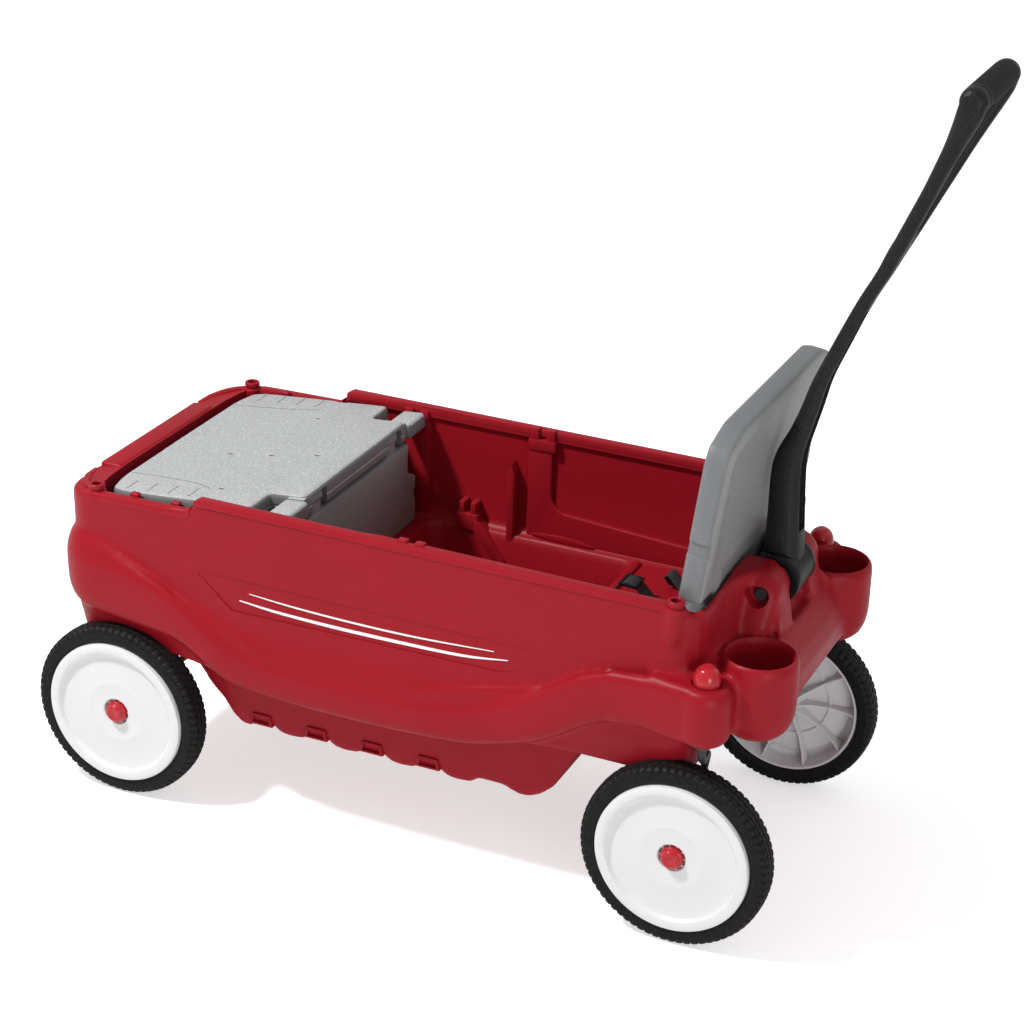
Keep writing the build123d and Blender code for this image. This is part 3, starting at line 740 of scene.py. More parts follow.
# crisp mouldings on the tub, in the same plastic
def trimPieces():
    pieces = []
    # rounded bead along each side of the rim
    section = [(206.6, 459), (206.6, 465), (207.6, 467.4), (210, 468.4), (219, 468.4),
               (221.8, 467.4), (223.3, 465), (223.4, 459), (215, 455)]
    rings = []
    for x, share in ((121, 0.4), (125, 0.7), (130, 1), (200, 1), (300, 1), (400, 1), (500, 1),
                     (600, 1), (700, 1), (780, 1), (790, 0.9)):
        rings.append([(x, 215 + (y - 215) * share, z - 9 * (1 - share) - (x > 785) * 1.5)
                      for y, z in section])
    pieces.append(loft("bead", rings))
    low = [(206.8, 436), (206.8, 444), (208, 446.4), (211, 447.2), (219, 447), (221.6, 445.6),
           (222.6, 443), (222.6, 436)]
    rings = []
    for x in (-22, 0, 30, 60, 90, 108, 116):
        rise = follow(tub["rimLine"], x) - 446
        rings.append([(x, y, z + rise) for y, z in low])
    pieces.append(loft("lowBead", rings))
    for x, y, z in ((797, 214, 474), (-35, 208, 453)):
        profile = [(6.5, z - 28), (6.5, z - 1), (7.4, z), (9.6, z), (10.8, z - 1), (11, z - 5.4),
                   (9.4, z - 6.6), (9.4, z - 8.8), (12, z - 9.8), (12.8, z - 11), (12.8, z - 18),
                   (12.2, z - 28)]
        pieces.append(turned("post", profile, (x, y, 0), "z", 40))
    # snap bumps that hold the lid down
    for x in (23, 86):
        pieces.append(block("snap", (x - 7, x + 7), (199.6, 209), (438, 450), 3, 3))
    whole = bothSides(join("rimTrim", *pieces), "rimTrim")
    bar = block("tailBar", (-85, -52), (-124, 124), (412, 442), 4.2, 4)
    for side in (1, -1):
        rings = []
        for number, (x, y) in enumerate([(-83, 136), (-80, 160), (-71, 181), (-56, 199), (-38, 208)]):
            top = 438 + number * 1.8
            rings.append([(x - 4, side * (y + 2), 420), (x - 4, side * (y + 2), top - 2),
                          (x - 2, side * (y + 1), top), (x + 3, side * (y - 1), top),
                          (x + 5, side * (y - 3), top - 2), (x + 5, side * (y - 3), 420)])
        bar = join("tailBar", bar, loft("fin", rings))
    whole = join("rimTrim", whole, bar)
    settle(whole, "wagon_body", surface["redPlastic"])


def insideTrim():
    pieces = []
    # raised lower wall with a pillar at its rear end
    liner = [(415, 299), (415, 452), (451, 452), (452, 380)] + arc(478, 374, 26, 27, 190, 262, 6)
    liner += [(600, 339.5), (700, 334), (800, 329), (822, 328), (822, 299)]
    pieces.append(soften(plate("liner", liner, "y", 203.4, 214), 2.6, 3))
    # clips for the hinge rods: two prongs on a shelf, the spare pair first
    for x, inner, z, width in (
            ((417, 430.6), 201.8, (450, 471), 1.8), ((441.4, 455), 201.8, (450, 471), 1.8),
            ((415, 457), 200.6, (438, 455), 2), ((219, 232.6), 202.4, (432, 463), 1.8),
            ((243.4, 257), 202.4, (432, 463), 1.8), ((216, 260), 202.6, (300, 444.6), 2)):
        pieces.append(block("clip", x, (inner, 214), z, width, 2))
    rib = [(387.5, 262), (387.5, 398), (393, 413), (398.5, 398), (398.5, 262)]
    pieces.append(soften(plate("rib", rib, "y", 193, 214), 1.8, 2))
    lens = [(422, 308), (440, 311), (470, 313), (500, 311), (523, 306), (500, 303), (470, 302),
            (440, 304)]
    pieces.append(soften(plate("lens", lens, "y", 200, 205), 1.2, 2))
    # low catch with its sloping arm
    for x0, x1 in ((314, 323), (332, 341)):
        pieces.append(block("catch", (x0, x1), (190, 212), (318, 341), 2.2, 2))
    pieces.append(block("catch", (311, 345), (187, 212), (298, 324), 2.6, 2))
    arm = [(340, 318), (350, 312), (390, 262), (390, 246), (380, 246), (340, 298)]
    pieces.append(soften(plate("arm", arm, "y", 184, 206), 2.2, 2))
    whole = bothSides(join("insideTrim", *pieces), "insideTrim")
    # raised edge of the forward seat base along the footwell, and a low pad in its middle
    edge = block("edge", (585, 598), (-196, 196), (290, 304.5), 3.2, 3)
    seatPad = block("pad", (604, 780), (-60, 60), (298, 302.5), 2, 2)
    whole = join("insideTrim", whole, edge, seatPad)
    settle(whole, "wagon_body", surface["redPlastic"])


def hullPockets():
    # small raised frames beside the teeth
    pieces = []
    for centre in tub["notches"]:
        middle = centre - 40
        frameRing = [(middle - 19, 137), (middle - 15, 154), (middle + 13, 154), (middle + 17, 137)]
        plateFrame = plate("pocketFrame", frameRing, "y", 190, 197.4)
        hole = [(middle - 14, 140.5), (middle - 11.5, 150.5), (middle + 9.5, 150.5), (middle + 12, 140.5)]
        soften(plateFrame, 1.6, 2)
        carve(plateFrame, plate("hole", hole, "y", 193, 202))
        pieces.append(plateFrame)
    whole = bothSides(join("hullPockets", *pieces), "hullPockets")
    settle(whole, "wagon_body", surface["redPlastic"])


# plain swept pinstripes in the shallow field on each side
stripes = {"y": 221.2, "thick": 0.7, "lines": [
    [(190, 335, 1.2), (240, 331, 3.2), (330, 329, 4.2), (430, 330, 4.2), (520, 333, 3.2), (580, 341, 1.0)],
    [(205, 348, 0.8), (270, 344, 2.0), (360, 342, 2.4), (450, 343, 2.2), (560, 349, 0.8)]]}


def sideStripes():
    pieces = []
    for line in stripes["lines"]:
        rings = []
        xs = [line[0][0] + (line[-1][0] - line[0][0]) * k / 24 for k in range(25)]
        for x in xs:
            z = follow([(p[0], p[1]) for p in line], x)
            half = follow([(p[0], p[2]) for p in line], x) / 2
            y0, y1 = stripes["y"] - 0.6, stripes["y"] + stripes["thick"]
            rings.append([(x, y0, z - half), (x, y1, z - half), (x, y1, z + half), (x, y0, z + half)])
        pieces.append(loft("stripe", rings))
    whole = bothSides(join("sideStripes", *pieces), "sideStripes")
    settle(whole, "wagon_body", surface["stripeWhite"])


trimPieces()
insideTrim()
hullPockets()
sideStripes()
print("tub trim ready")


# running gear
wheelSize = {"y": 222, "z": 127, "frontX": 820, "ribs": 10}
tread = {"steps": 288, "repeat": 4, "inner": 119, "lugFrom": 9, "shoulder": 14, "lugDrop": 1.2,
         "shoulderDraw": 0.93, "grooveFrom": 1.5, "grooveTo": 7, "grooveDrop": 0.9}
wheelProfile = [(5.3, -20), (12.5, -20), (15.6, -18.6), (16.4, -8), (19.5, 5), (23, 11.4), (54, 12.6),
                (56, 9), (59, 9), (61, 12.8), (80, 13.2), (85, 14.6), (88.5, 18.2), (92, 19.4),
                (96.6, 19.2), (98.4, 17), (98.8, -11.5), (99.8, -14), (102.4, -14), (103.4, -12.8),
                (103.4, 20.4), (102.6, 22.2), (100.6, 23), (92, 23), (90, 22.3), (88.4, 20.2),
                (86.8, 17.8), (84.4, 17), (80, 16.8), (44, 16.6), (42.6, 16.9), (41, 16.6),
                (22, 16.8), (20.4, 16.9), (19.0, 16.2), (18.5, 14.8), (18.3, 9.6), (17.4, 9.2),
                (5.3, 9.2)]


def buildWheel():
    wheel = turned("wheel", wheelProfile, (0, 0, 0), "y", 96)
    outline = [(15.2, -15), (15.2, 13.4), (98.4, 18), (98.4, -9), (84, -2), (60, 2), (32, -4)]
    rib = plate("rib", outline, "z", -1.3, 1.3)
    soften(rib, 0.7, 2)
    ribs = []
    for number in range(wheelSize["ribs"]):
        turn = Matrix.Rotation(math.tau * number / wheelSize["ribs"], 4, "Y")
        ribs.append(copyOf(rib, "ribCopy", turn))
    bpy.data.objects.remove(rib)
    return join("wheel", wheel, *ribs)


def buildTyre():
    half = [(103.7, 15), (104.4, 17), (106.5, 18.6), (111, 19.4), (113, 19.0), (115.5, 19.3),
            (118.5, 19.2), (121, 18.4), (123.4, 17), (125.4, 14.6), (126.4, 11.8), (126.6, 9.2),
            (124.4, 8.6), (124.4, 7.4), (126.9, 6.8), (127, 1.7), (125, 1.2)]
    profile = half + [(r, -y) for r, y in reversed(half)]
    tyre = turned("tyre", profile, (0, 0, 0), "y", tread["steps"])
    for vertex in tyre.data.vertices:
        radius = math.hypot(vertex.co.x, vertex.co.z)
        if radius < tread["inner"]:
            continue
        turn = math.atan2(vertex.co.z, vertex.co.x)
        step = round(turn / math.tau * tread["steps"]) % tread["repeat"]
        side = abs(vertex.co.y)
        drop = 0
        if side > tread["lugFrom"] and step == 0:
            drop = tread["lugDrop"]
            if side > tread["shoulder"]:
                vertex.co.y *= tread["shoulderDraw"]
        # the two rows of grooves are staggered
        if tread["grooveFrom"] < side < tread["grooveTo"] and step == (2 if vertex.co.y > 0 else 1):
            drop = tread["grooveDrop"]
        vertex.co.x *= (radius - drop) / radius
        vertex.co.z *= (radius - drop) / radius
    return tyre


def buildCap():
    profile = [(0, 9.6), (15, 9.6), (15.4, 10), (15.4, 16.8), (15, 18), (14.1, 18.7), (13, 19),
               (12.4, 19.6), (12.1, 22.4), (11.6, 23.8), (10.4, 24.7), (8.6, 25.1), (7, 25),
               (6.1, 24.3), (5.4, 24.1), (0, 24.4)]
    return turned("cap", profile, (0, 0, 0), "y", 48, False)


def buildRunningGear():
    wheel, tyre, cap = buildWheel(), buildTyre(), buildCap()
    for end, x in (("rear", 0), ("front", wheelSize["frontX"])):
        for side, sign in (("left", 1), ("right", -1)):
            flip = acrossY if sign < 0 else Matrix.Identity(4)
            change = Matrix.Translation((x, sign * wheelSize["y"], wheelSize["z"])) @ flip
            body = f"{end}_wheel_{side}"
            settle(copyOf(wheel, f"{end}WheelDisc_{side}", change), body,
                   surface["whitePlastic"], [f"{end}_wheel_{side}"], 30)
            settle(copyOf(tyre, f"{end}TyreTread_{side}", change), body, surface["tyre"],
                   [f"{end}_tyre_{side}"], 30)
            holder = "wagon_body" if end == "rear" else f"caster_{side}"
            settle(copyOf(cap, f"{end}HubCap_{side}", change), holder,
                   surface["redTrim"], [f"{end}_hub_cap_{side}"], 40)
    for piece in (wheel, tyre, cap):
        bpy.data.objects.remove(piece)
    profile = [(0, 392), (5.4, 392), (5.4, 374.4), (16.8, 374.4), (17.3, 375.4), (17.3, 381),
               (16.6, 386.6), (14.8, 392), (11.8, 396.2), (8.6, 398.7), (7.5, 398.9), (7, 399.8),
               (0, 400.2)]
    dome = turned("dome", profile, (pod["x"], pod["y"], 0), "z", 48, False)
    settle(copyOf(dome, "kingpinCap_right", acrossY), "caster_right",
           surface["redTrim"], ["kingpin_dome_right"], 40)
    settle(dome, "caster_left", surface["redTrim"], ["kingpin_dome_left"], 40,
           "kingpinCap_left")


buildRunningGear()
print("running gear ready")


# pull handle: stem, two legs and a crossbar, melted into one moulding
pull = {"x": 862, "z": 438, "gripX": 1062, "gripZ": 1095, "voxel": 1.9}
stem = [(440, 862, 56, 52), (480, 862, 53, 47), (520, 861, 51, 43.5), (560, 860, 49, 41.5),
        (585, 860.5, 48, 39.5), (606, 864.5, 46.5, 35), (632, 873.5, 44.5, 28), (666, 884, 42, 23.5),
        (706, 895, 39, 20.5), (750, 912.5, 36, 19.5), (814, 939.5, 32, 18.5), (857, 961, 33, 19),
        (880, 971, 38, 20), (900, 980, 46, 19), (912, 986, 50, 15)]
legs = [(868, 966, 8, 17, 19), (905, 983, 17, 17.5, 20), (940, 999, 28, 18, 20),
        (975, 1015, 39.5, 18.5, 20), (1005, 1028, 50, 20, 21), (1035, 1041, 59, 22, 24),
        (1062, 1052, 67, 26, 29), (1084, 1060, 71, 28, 33), (1098, 1063, 71, 26, 30)]


def roundedBox(x, y, z, wide, deep, lean, corner=0.42):
    # rounded rectangle across the stem, tipped back by lean
    ring = []
    r = min(wide, deep) * corner
    for sx, sy, start in ((1, 1, 0), (-1, 1, 90), (-1, -1, 180), (1, -1, 270)):
        for ax, ay in arc(sx * (deep / 2 - r), sy * (wide / 2 - r), r, r, start, start + 90, 4):
            ring.append((x + ax * math.cos(lean), y + ay, z - ax * math.sin(lean)))
    return ring


def sweep(name, table, side, step=9):
    # table rows are height, x, y, width, depth, eased from one to the next
    columns = [[(row[0], row[k]) for row in table] for k in range(1, 5)]
    low, high = table[0][0], table[-1][0]
    count = round((high - low) / step)
    rings = []
    for number in range(count + 1):
        z = low + (high - low) * number / count
        x, y, wide, deep = [follow(column, z) for column in columns]
        over, under = min(z + step, high), max(z - step, low)
        lean = math.atan2(follow(columns[0], over) - follow(columns[0], under), over - under)
        rings.append(roundedBox(x, side * y, z, wide, deep * math.cos(lean), lean))
    return loft(name, rings)


def buildHandle():
    parts = [sweep("stem", [(z, x, 0, wide, deep) for z, x, wide, deep in stem], 1)]
    parts += [sweep("leg", legs, side) for side in (1, -1)]
    profile = [(0, -84), (9, -83.4), (14, -80.5), (16.6, -75.5), (17, -70), (17, -62.6),
               (15.8, -62), (15, -61.4), (15, 61.4), (15.8, 62), (17, 62.6), (17, 70), (16.6, 75.5),
               (14, 80.5), (9, 83.4), (0, 84)]
    parts.append(turned("bar", profile, (pull["gripX"], 0, pull["gripZ"]), "y", 40, False))
    handle = join("pullHandle", *parts)
    melt(handle, pull["voxel"], 4)
    groove = [(905, 497), (871, 500), (868.5, 507), (867, 560), (869, 602), (878, 640), (888, 670),
              (899, 706), (917, 750), (937, 795), (945, 806), (960, 808), (1000, 800), (940, 620)]
    tool = plate("groove", groove, "y", -11.5, 11.5)
    soften(tool, 2.2, 2)
    carve(handle, tool)
    barrel = [(9.4, -35), (21, -35), (22, -34), (24, -34), (25, -35), (30.5, -35), (33, -34.2),
              (34, -32), (34, -25.4), (33.4, -24.8), (33.4, 24.8), (34, 25.4), (34, 32), (33, 34.2),
              (30.5, 35), (25, 35), (24, 34), (22, 34), (21, 35), (9.4, 35)]
    core = turned("core", barrel, (pull["x"], 0, pull["z"]), "y", 80)
    hollow = rod("hollow", (pull["x"], -60, pull["z"]), (pull["x"], 60, pull["z"]), 30, 48)
    carve(handle, hollow)
    settle(handle, "handle", surface["blackPlastic"], ["handle_frame"], 35)
    settle(core, "handle", surface["blackSmooth"], angle=30, name="handleBarrel")
    profile = [(15.2, -61.8), (16.4, -61.8), (17.2, -61), (17.2, -56), (16.9, -55.4)]
    for k in range(-13, 14):
        profile += [(16.9, k * 4 - 1.3), (17.2, k * 4 - 0.9), (17.2, k * 4 + 0.9), (16.9, k * 4 + 1.3)]
    profile += [(16.9, 55.4), (17.2, 56), (17.2, 61), (16.4, 61.8), (15.2, 61.8)]
    sleeve = turned("gripSleeve", profile, (pull["gripX"], 0, pull["gripZ"]), "y", 48)
    settle(sleeve, "handle", surface["gripRubber"], ["handle_grip"], 40)


buildHandle()
print("handle ready")


# folding seat units, drawn about their hinge line and lying flat
seat = {"rearHinge": (238, 450), "frontHinge": (800, 424), "backLean": 97.0, "lidDrop": 5.2,
        "deckZ": 300, "legGap": 1, "legLong": 149, "legThick": 12, "upperFacing": 0.55, "fieldZ": 16}
legDrop = seat["frontHinge"][1] - seat["deckZ"] - seat["legGap"]
legSwing = (math.degrees(math.acos(legDrop / math.hypot(seat["legLong"], seat["legThick"])))
            + math.degrees(math.atan2(seat["legThick"], seat["legLong"])))


def seatOutline(tail):
    half = [(13, 4), (13, 60), (13, 110), (13, 138), (10.5, 144.5), (4, 147), (-20, 147), (-33, 147),
            (-38, 149), (-40, 154), (-40, 170), (-40, 190), (-42, 196), (-48, 198), (-64, 198),
            (-104, 198), (-106, 195), (-122, 195), (-124, 198), (-180, 198), (-224, 197.6)]
    half += tail
    return wholeRing(half)


def buildPanel(isLid):
    # the lid's tail corners are squarer than the back rest's
    square = [(-241, 196), (-255, 192), (-262, 185), (-268, 160), (-270, 143), (-271, 4)]
    rounded = [(-234, 195.5), (-246, 191), (-251, 185), (-262, 154), (-265, 143), (-265, 4)]
    outline = seatOutline(square if isLid else rounded)
    # a parting line runs round the lid's edge
    line = 1.3 if isLid else 0
    rings = []
    for z, depth in ((-13, 2.6), (-11.5, 0.8), (-9, 0), (-2, 0), (-1.2, line), (0.2, line), (1, 0),
                     (9, 0), (12.4, 0.7), (15, 2.2), (16.4, 4.4), (17, 7.5)):
        rings.append([(x, y, z) for x, y in inset(outline, [depth] * len(outline))])
    panel = loft("panel", rings)
    tools = []
    for x0, x1 in ((-255, -199), (-189, -137), (-127, -77)):
        for y0, y1 in ((-136, -50), (-42, 42), (50, 136)):
            tools.append(block("pocket", (x0, x1), (y0, y1), (-20, 10), 3, 2))
    tools.append(block("pocket", (-62, -24), (-28, 28), (-20, 9), 2, 2))
    for side in (1, -1):
        tools.append(block("pocket", (-62, 30), span(side, 90, 130), (-20, 10.5), 2, 2))
        for x in ((-222, -194), (-187, -132), (-125, -72)):
            tools.append(block("pocket", x, span(side, 146, 190), (-20, 10), 3, 2))
    carve(panel, join("pockets", *tools))
    if isLid:
        tools = []
        for x, y in ((-165, -38), (-107, -27), (-45, -9), (-111, -154), (-114, 120)):
            tools.append(block("dimple", (x - 3.6, x + 3.6), (y - 1.5, y + 1.5), (14.6, 22)))
        for side in (1, -1):
            crease = [(x, side * (137 + 9 * math.sin((x + 262) / 150 * math.pi / 2) ** 2
                                  + 22 * max(0, (x + 170) / 60) ** 2)) for x in range(-262, -118, 9)]
            wider = [(x, y + side * 1.3) for x, y in reversed(crease)]
            tools.append(plate("crease", crease + wider, "z", 16.1, 22))
        carve(panel, join("marks", *tools))
    else:
        # sunken field across the back rest
        field = wholeRing([(-6, 4), (-6, 116), (-9, 122), (-16, 125), (-54, 126), (-63, 129),
                           (-67, 137), (-67, 166), (-71, 173), (-79, 175.5), (-218, 174),
                           (-229, 169), (-235, 160), (-241, 138), (-241, 4)])
        rings = []
        for z, depth in ((15.3, 2.4), (15.6, 1.6), (17.2, -0.6), (20, -0.6)):
            rings.append([(x, y, z) for x, y in inset(field, [depth] * len(field))])
        carve(panel, loft("field", rings))
    extras = []
    for side in (1, -1):
        for x in (-238, -206, -174, -142) if isLid else ():
            extras.append(block("ridge", (x - 1.5, x + 1.5), span(side, 162, 190), (15.6, 18),
                                0.9, 2))
        extras.append(block("ear", (-18.5, 18), span(side, 146, 200), (-12, 12), 6.5, 4))
        extras.append(block("neck", (-14, 12), span(side, 139, 151), (-10, 14), 3, 2))
    return join("panel", panel, *extras)


def buildLegPanel():
    half = [(-20, 4), (-20, 90), (-20, 155), (-40, 155), (-62, 155), (-66, 157), (-76, 177),
            (-80, 180), (-96, 180), (-98, 176), (-112, 176), (-114, 180), (-140, 180), (-147, 177),
            (-149, 170), (-149, 90), (-149, 4)]
    outline = [(y, z) for z, y in half] + [(-y, z) for z, y in reversed(half)]
    rings = []
    for x, depth in ((-6, 3), (-5, 0.8), (-3, 0), (9, 0), (11, 0.9), (12, 3)):
        rings.append([(x, y, z) for y, z in inset(outline, [-depth] * len(outline))])
    panel = loft("leg", rings)
    tools = []
    for y0 in (-145, -86, -27, 32, 91):
        tools.append(block("pocket", (-20, 7.5), (y0, y0 + 52), (-142, -36), 3, 2))
    carve(panel, join("pockets", *tools))
    extras = []
    for side in (1, -1):
        low, high = span(side, 95, 125)
        extras.append(rod("lug", (0, low, 0), (0, high, 0), 8.5, 32))
        web = [(-6, -3), (5.5, -3), (8, -26), (2, -30), (-6, -30)]
        extras.append(soften(plate("web", web, "y", low + 0.5, high - 0.5), 1, 1))
        extras.append(soften(block("toe", (8, 15), (side * 60 - 22, side * 60 + 22), (-149, -136)), 2, 2))
    return join("leg", panel, *extras)


def seatPlace(hinge, lean):
    return Matrix.Translation((hinge[0], 0, hinge[1])) @ Matrix.Rotation(math.radians(lean), 4, "Y")


def faceFinishes(piece, change, plain, sunken):
    # smooth edges and underside, textured upper face, darker sunken field
    piece.data.materials.append(plain)
    piece.data.materials.append(sunken)
    inverse = (toRow @ change).inverted()
    up = (toRow @ change).to_3x3() @ Vector((0, 0, 1))
    up.normalize()
    for face in piece.data.polygons:
        if face.normal.dot(up) < seat["upperFacing"]:
            face.material_index = 1
        elif (inverse @ face.center).z * 1000 < seat["fieldZ"]:
            face.material_index = 2


def buildSeats():
    lid, back, leg = buildPanel(True), buildPanel(False), buildLegPanel()
    for panel, name, body, node, hinge, lean, finish, sunken in (
            (lid, "rearLid", "rear_lid", "rear_seat_panel", seat["rearHinge"], -seat["lidDrop"],
             "greySpeckled", "greySpeckled"),
            (back, "frontBack", "front_back", "front_seat_panel", seat["frontHinge"],
             seat["backLean"], "greyBack", "greySmooth")):
        change = seatPlace(hinge, lean)
        piece = copyOf(panel, name, change)
        settle(piece, body, surface[finish], [node], 34)
        faceFinishes(piece, change, surface["greySmooth"], surface[sunken])
    for name, body, node, hinge, lean in (
            ("rearLeg", "rear_leg", "rear_seat_leg", seat["rearHinge"], 0),
            ("frontLeg", "front_leg", "front_seat_leg", seat["frontHinge"], legSwing)):
        piece = copyOf(leg, name, seatPlace(hinge, lean))
        settle(piece, body, surface["greyLeg"], [node], 34)
    for piece in (lid, back, leg):
        bpy.data.objects.remove(piece)


buildSeats()
print("seats ready")


# lap belts: flat webbing with a ladder adjuster and a side-release buckle
belt = {"width": 26, "thick": 1.9, "y": 90, "foldY": 122, "restZ": 300.6, "buckleY": 45,
        "buckleAlong": 92, "adjusterAlong": 62}


def strap(name, line, y, wide, twist=0):
    rings = []
    half = wide / 2
    lengths, heights = [[(k, p[axis]) for k, p in enumerate(line)] for axis in (0, 1)]
    for number in range(len(line) * 5 - 4):
        spot = number / 5
        x, z = follow(lengths, spot), follow(heights, spot)
        ahead, behind = min(spot + 0.2, len(line) - 1), max(spot - 0.2, 0)
        dx = follow(lengths, ahead) - follow(lengths, behind)
        dz = follow(heights, ahead) - follow(heights, behind)
        length = math.hypot(dx, dz) or 1
        nx, nz = -dz / length, dx / length
        if nz < 0:
            nx, nz = -nx, -nz
        middle = y + twist * spot / (len(line) - 1)
        ring = []
        for sideways, lift in ((-half, 0.3), (-half + 1.2, 0), (half - 1.2, 0), (half, 0.3),
                              (half, 0.8), (half - 1.2, 1), (-half + 1.2, 1), (-half, 0.8)):
            offset = lift * belt["thick"]
            ring.append((x + nx * offset, middle + sideways, z + nz * offset))
        rings.append(ring)
    return loft(name, rings)


def buckle(x, y, z):
    parts = [block("case", (x - 17, x + 9), (y - 15, y + 15), (z, z + 10), 2.6, 3)]
    parts.append(block("tongue", (x + 7, x + 21), (y - 12, y + 12), (z + 1.6, z + 8.6), 2, 2))
    for side in (1, -1):
        low, high = sorted((y + side * 11, y + side * 17.4))
        parts.append(block("spring", (x - 8, x + 5), (low, high), (z + 1.6, z + 8.4), 1.8, 2))
    parts.append(block("bar", (x - 22, x - 16), (y - 15, y + 15), (z + 2, z + 8), 1.6, 2))
    return join("buckle", *parts)


def adjuster(x, y, z, lean):
    parts = [block("rail", (-13, 13), (s - 2, s + 2), (0, 4.5), 1.2, 2) for s in (-15, 15)]
    parts += [block("rung", (s - 2, s + 2), (-15, 15), (0.4, 4.1), 1.0, 2) for s in (-11, 0, 11)]
    whole = join("adjuster", *parts)
    whole.data.transform(Matrix.Translation((x, y, z)) @ Matrix.Rotation(math.radians(lean), 4, "Y"))
    return whole


def buildBelts():
    low = belt["restZ"]
    for end, start, way in (("front", 688, -1), ("rear", 60, 1)):
        arch = [(0, 0), (16, 0), (32, 3), (46, 16), (60, 26), (74, 23), (86, 9), (93, 1.5), (100, 1)]
        for side, sign in (("left", 1), ("right", -1)):
            line = [(start + way * px, low + pz * (1.15 if sign > 0 else 1)) for px, pz in arch]
            piece = strap(f"{end}Strap_{side}", line, sign * belt["y"], belt["width"], -sign * 12)
            settle(piece, "wagon_body", surface["webbing"], [f"{end}_belt_{side}"], 40)
        parts = []
        for sign in (1, -1):
            parts.append(buckle(start + way * belt["buckleAlong"], sign * belt["buckleY"], low))
            parts.append(adjuster(start + way * belt["adjusterAlong"], sign * (belt["y"] - 7),
                                  low + 27, -way * 4))
        settle(join(f"{end}Buckles", *parts), "wagon_body", surface["blackSmooth"],
               [f"{end}_buckles"], 35)
    # spare webbing lying in a loose fold beside the seat back
    fold = [(700, 301), (690, 305), (674, 317), (662, 324), (655, 317), (660, 305), (680, 301.5)]
    extra = [strap("fold", fold, sign * belt["foldY"], belt["width"], sign * 40) for sign in (1, -1)]
    settle(join("looseWebbing", *extra), "wagon_body", surface["webbing"], angle=40)


webbingLook = {"main": (0.02, 0.02, 0.021), "deep": (0.03, 0.03, 0.031), "fleck": (0.12, 0.12, 0.12),
               "fleckSize": 500.0, "flecks": 0.25, "rubAndHighlight": 0.1, "rough": (0.6, 0.8), "cloudSize": 60.0}


def webbingMaterial():
    material, tree, shader, place = colouredMaterial("webbing", webbingLook)
    addSheen(tree, shader, place, webbingLook["cloudSize"], webbingLook["rough"])
    ribs = addNode(tree, "ShaderNodeTexWave", {"wave_type": "BANDS", "bands_direction": "X",
                                               "Scale": 160.0, "Distortion": 1.0}, Vector=place)
    rows = addNode(tree, "ShaderNodeTexWave", {"wave_type": "BANDS", "bands_direction": "Y",
                                               "Scale": 90.0, "Distortion": 0.5}, Vector=place)
    weave = addNode(tree, "ShaderNodeMath", {"operation": "ADD"}, n0=ribs.outputs["Fac"],
                    n1=rows.outputs["Fac"])
    bump = addNode(tree, "ShaderNodeBump", {"Distance": 0.0006, "Strength": 0.7},
                   Height=weave.outputs[0])
    tree.links.new(bump.outputs["Normal"], shader.inputs["Normal"])
    return material


surface["webbing"] = webbingMaterial()
buildBelts()
print("belts ready")


# finishes for the frame's own nodes
nodeFinish = {"rear_axle": "blackSteel", "handle_bolt": "blackSteel", "handle_nut": "blackSteel",
              "barrel_bushes": "blackSmooth"}
for side in ("left", "right"):
    for name in ("rear_washer", "front_washer"):
        nodeFinish[f"{name}_{side}"] = "zincSteel"
    nodeFinish[f"kingpin_collar_{side}"] = "blackSteel"
    nodeFinish[f"caster_rod_{side}"] = "blackSteel"
    nodeFinish[f"kingpin_bushes_{side}"] = "blackSmooth"
for end in ("rear", "front"):
    nodeFinish[f"{end}_hinge_rod"] = "zincSteel"
    nodeFinish[f"{end}_belt_screws"] = "zincSteel"
for name, finish in nodeFinish.items():
    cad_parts[name].data.materials.clear()
    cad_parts[name].data.materials.append(surface[finish])
print("frame nodes finished")


# floor, light and camera
light = {"sky": 0.47, "floorGlow": 0.55}
lamps = {"keyLight": {"place": (-1.6, -1.4, 3.2), "aim": (0, 0, 0.3), "size": 0.35, "power": 112},
         "fillLight": {"place": (2.3, -2.4, 0.6), "aim": (0.3, 0.1, 0.2), "size": 1.2, "power": 24},
         "rimLight": {"place": (2.6, 2.4, 2.6), "aim": (0, 0, 0.4), "size": 3.0, "power": 10}}
floorLook = {"main": (0.93, 0.93, 0.935), "deep": (0.92, 0.92, 0.925), "fleck": (0.94, 0.94, 0.94),
             "flecks": 0.0, "rubAndHighlight": 0.0, "roughness": 0.7, "specular": 0.2, "side": 30}


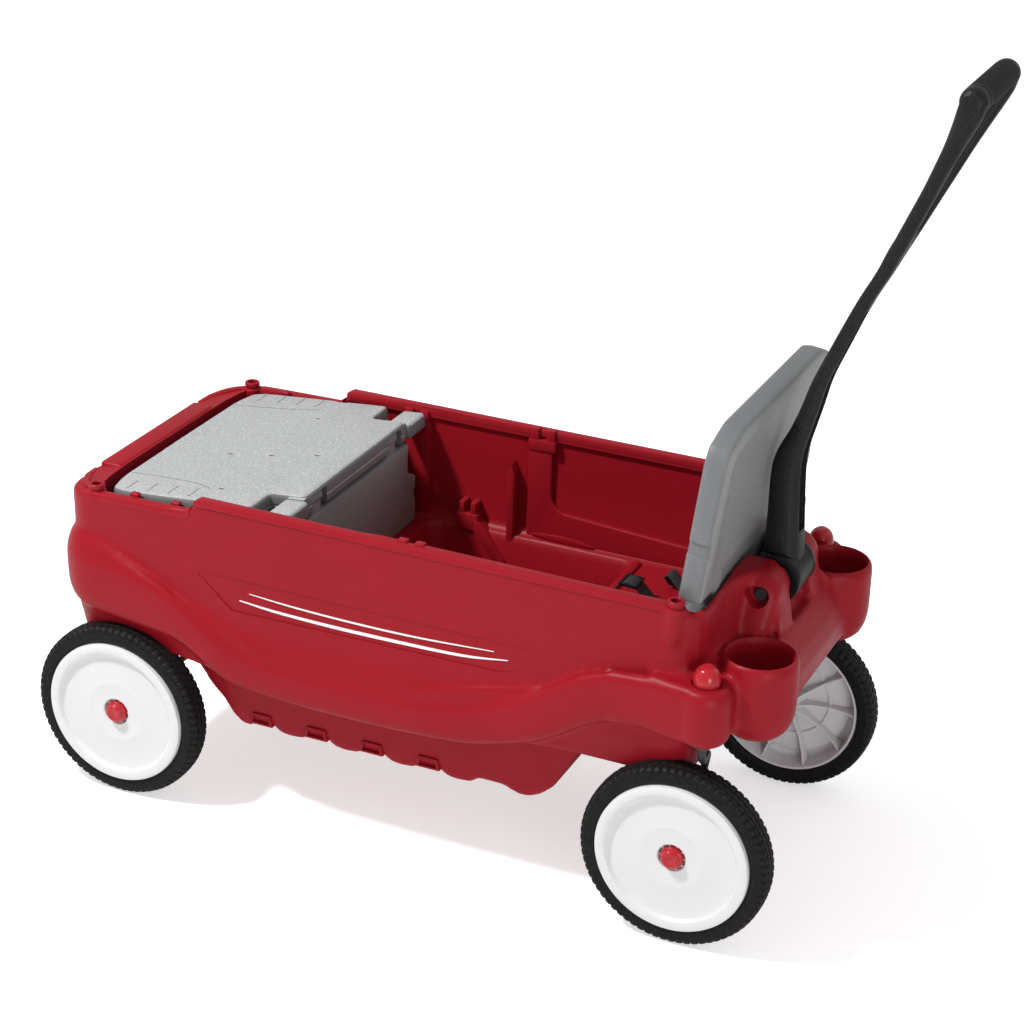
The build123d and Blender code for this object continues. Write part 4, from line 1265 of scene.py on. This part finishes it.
def buildStage():
    clearSelection()
    bpy.ops.mesh.primitive_plane_add(size=floorLook["side"], location=(0, 0, 0))
    floor = bpy.context.object
    floor.name = "floor"
    material, tree, paint, _ = colouredMaterial("floorWhite", floorLook)
    paint.inputs["Roughness"].default_value = floorLook["roughness"]
    paint.inputs["Specular IOR Level"].default_value = floorLook["specular"]
    # the sweep looks evenly white, and its glow lights nothing
    rays = tree.nodes.new("ShaderNodeLightPath")
    glow = addNode(tree, "ShaderNodeMapRange", {"To Max": light["floorGlow"]},
                   Value=rays.outputs["Is Camera Ray"])
    paint.inputs["Emission Color"].default_value = (1, 1, 1, 1)
    tree.links.new(glow.outputs["Result"], paint.inputs["Emission Strength"])
    floor.data.materials.append(material)


def softBox(name, place, aim, size, power):
    clearSelection()
    bpy.ops.object.light_add(type="AREA", location=place)
    lamp = bpy.context.object
    lamp.name = name
    lamp.data.shape = "DISK"
    lamp.data.size = size
    lamp.data.energy = power
    lamp.rotation_euler = (Vector(aim) - Vector(place)).to_track_quat("-Z", "Y").to_euler()


def buildLight():
    world = bpy.data.worlds.new("studio")
    bpy.context.scene.world = world
    world.use_nodes = True
    tree = world.node_tree
    sky = tree.nodes["Background"]
    sky.inputs["Color"].default_value = (1, 1, 1, 1)
    rays = tree.nodes.new("ShaderNodeLightPath")
    glow = addNode(tree, "ShaderNodeMapRange", {"To Min": light["sky"], "To Max": 1.0},
                   Value=rays.outputs["Is Camera Ray"])
    tree.links.new(glow.outputs["Result"], sky.inputs["Strength"])
    for name, lamp in lamps.items():
        softBox(name, **lamp)


view = {"target": (0.00584, 0, 0.43638), "distance": 3.33215, "azimuth": 23.753,
        "elevation": 24.707, "roll": 1.702, "lens": 87.72}


def buildCamera():
    turn, lift = math.radians(view["azimuth"]), math.radians(view["elevation"])
    tilt = math.radians(view["roll"])
    back = Vector((math.sin(turn) * math.cos(lift), -math.cos(turn) * math.cos(lift),
                   math.sin(lift)))
    right = Vector((math.cos(turn), math.sin(turn), 0))
    up = back.cross(right)
    sideways = right * math.cos(tilt) + up * math.sin(tilt)
    upwards = up * math.cos(tilt) - right * math.sin(tilt)
    clearSelection()
    bpy.ops.object.camera_add()
    camera = bpy.context.object
    camera.data.lens = view["lens"]
    camera.data.sensor_width = 36
    place = Vector(view["target"]) + back * view["distance"]
    facing = Matrix((sideways, upwards, back)).transposed().to_4x4()
    camera.matrix_world = Matrix.Translation(place) @ facing
    bpy.context.scene.camera = camera


buildStage()
buildLight()
buildCamera()
bpy.context.scene.view_settings.view_transform = "Standard"
print("stage, light and camera ready")
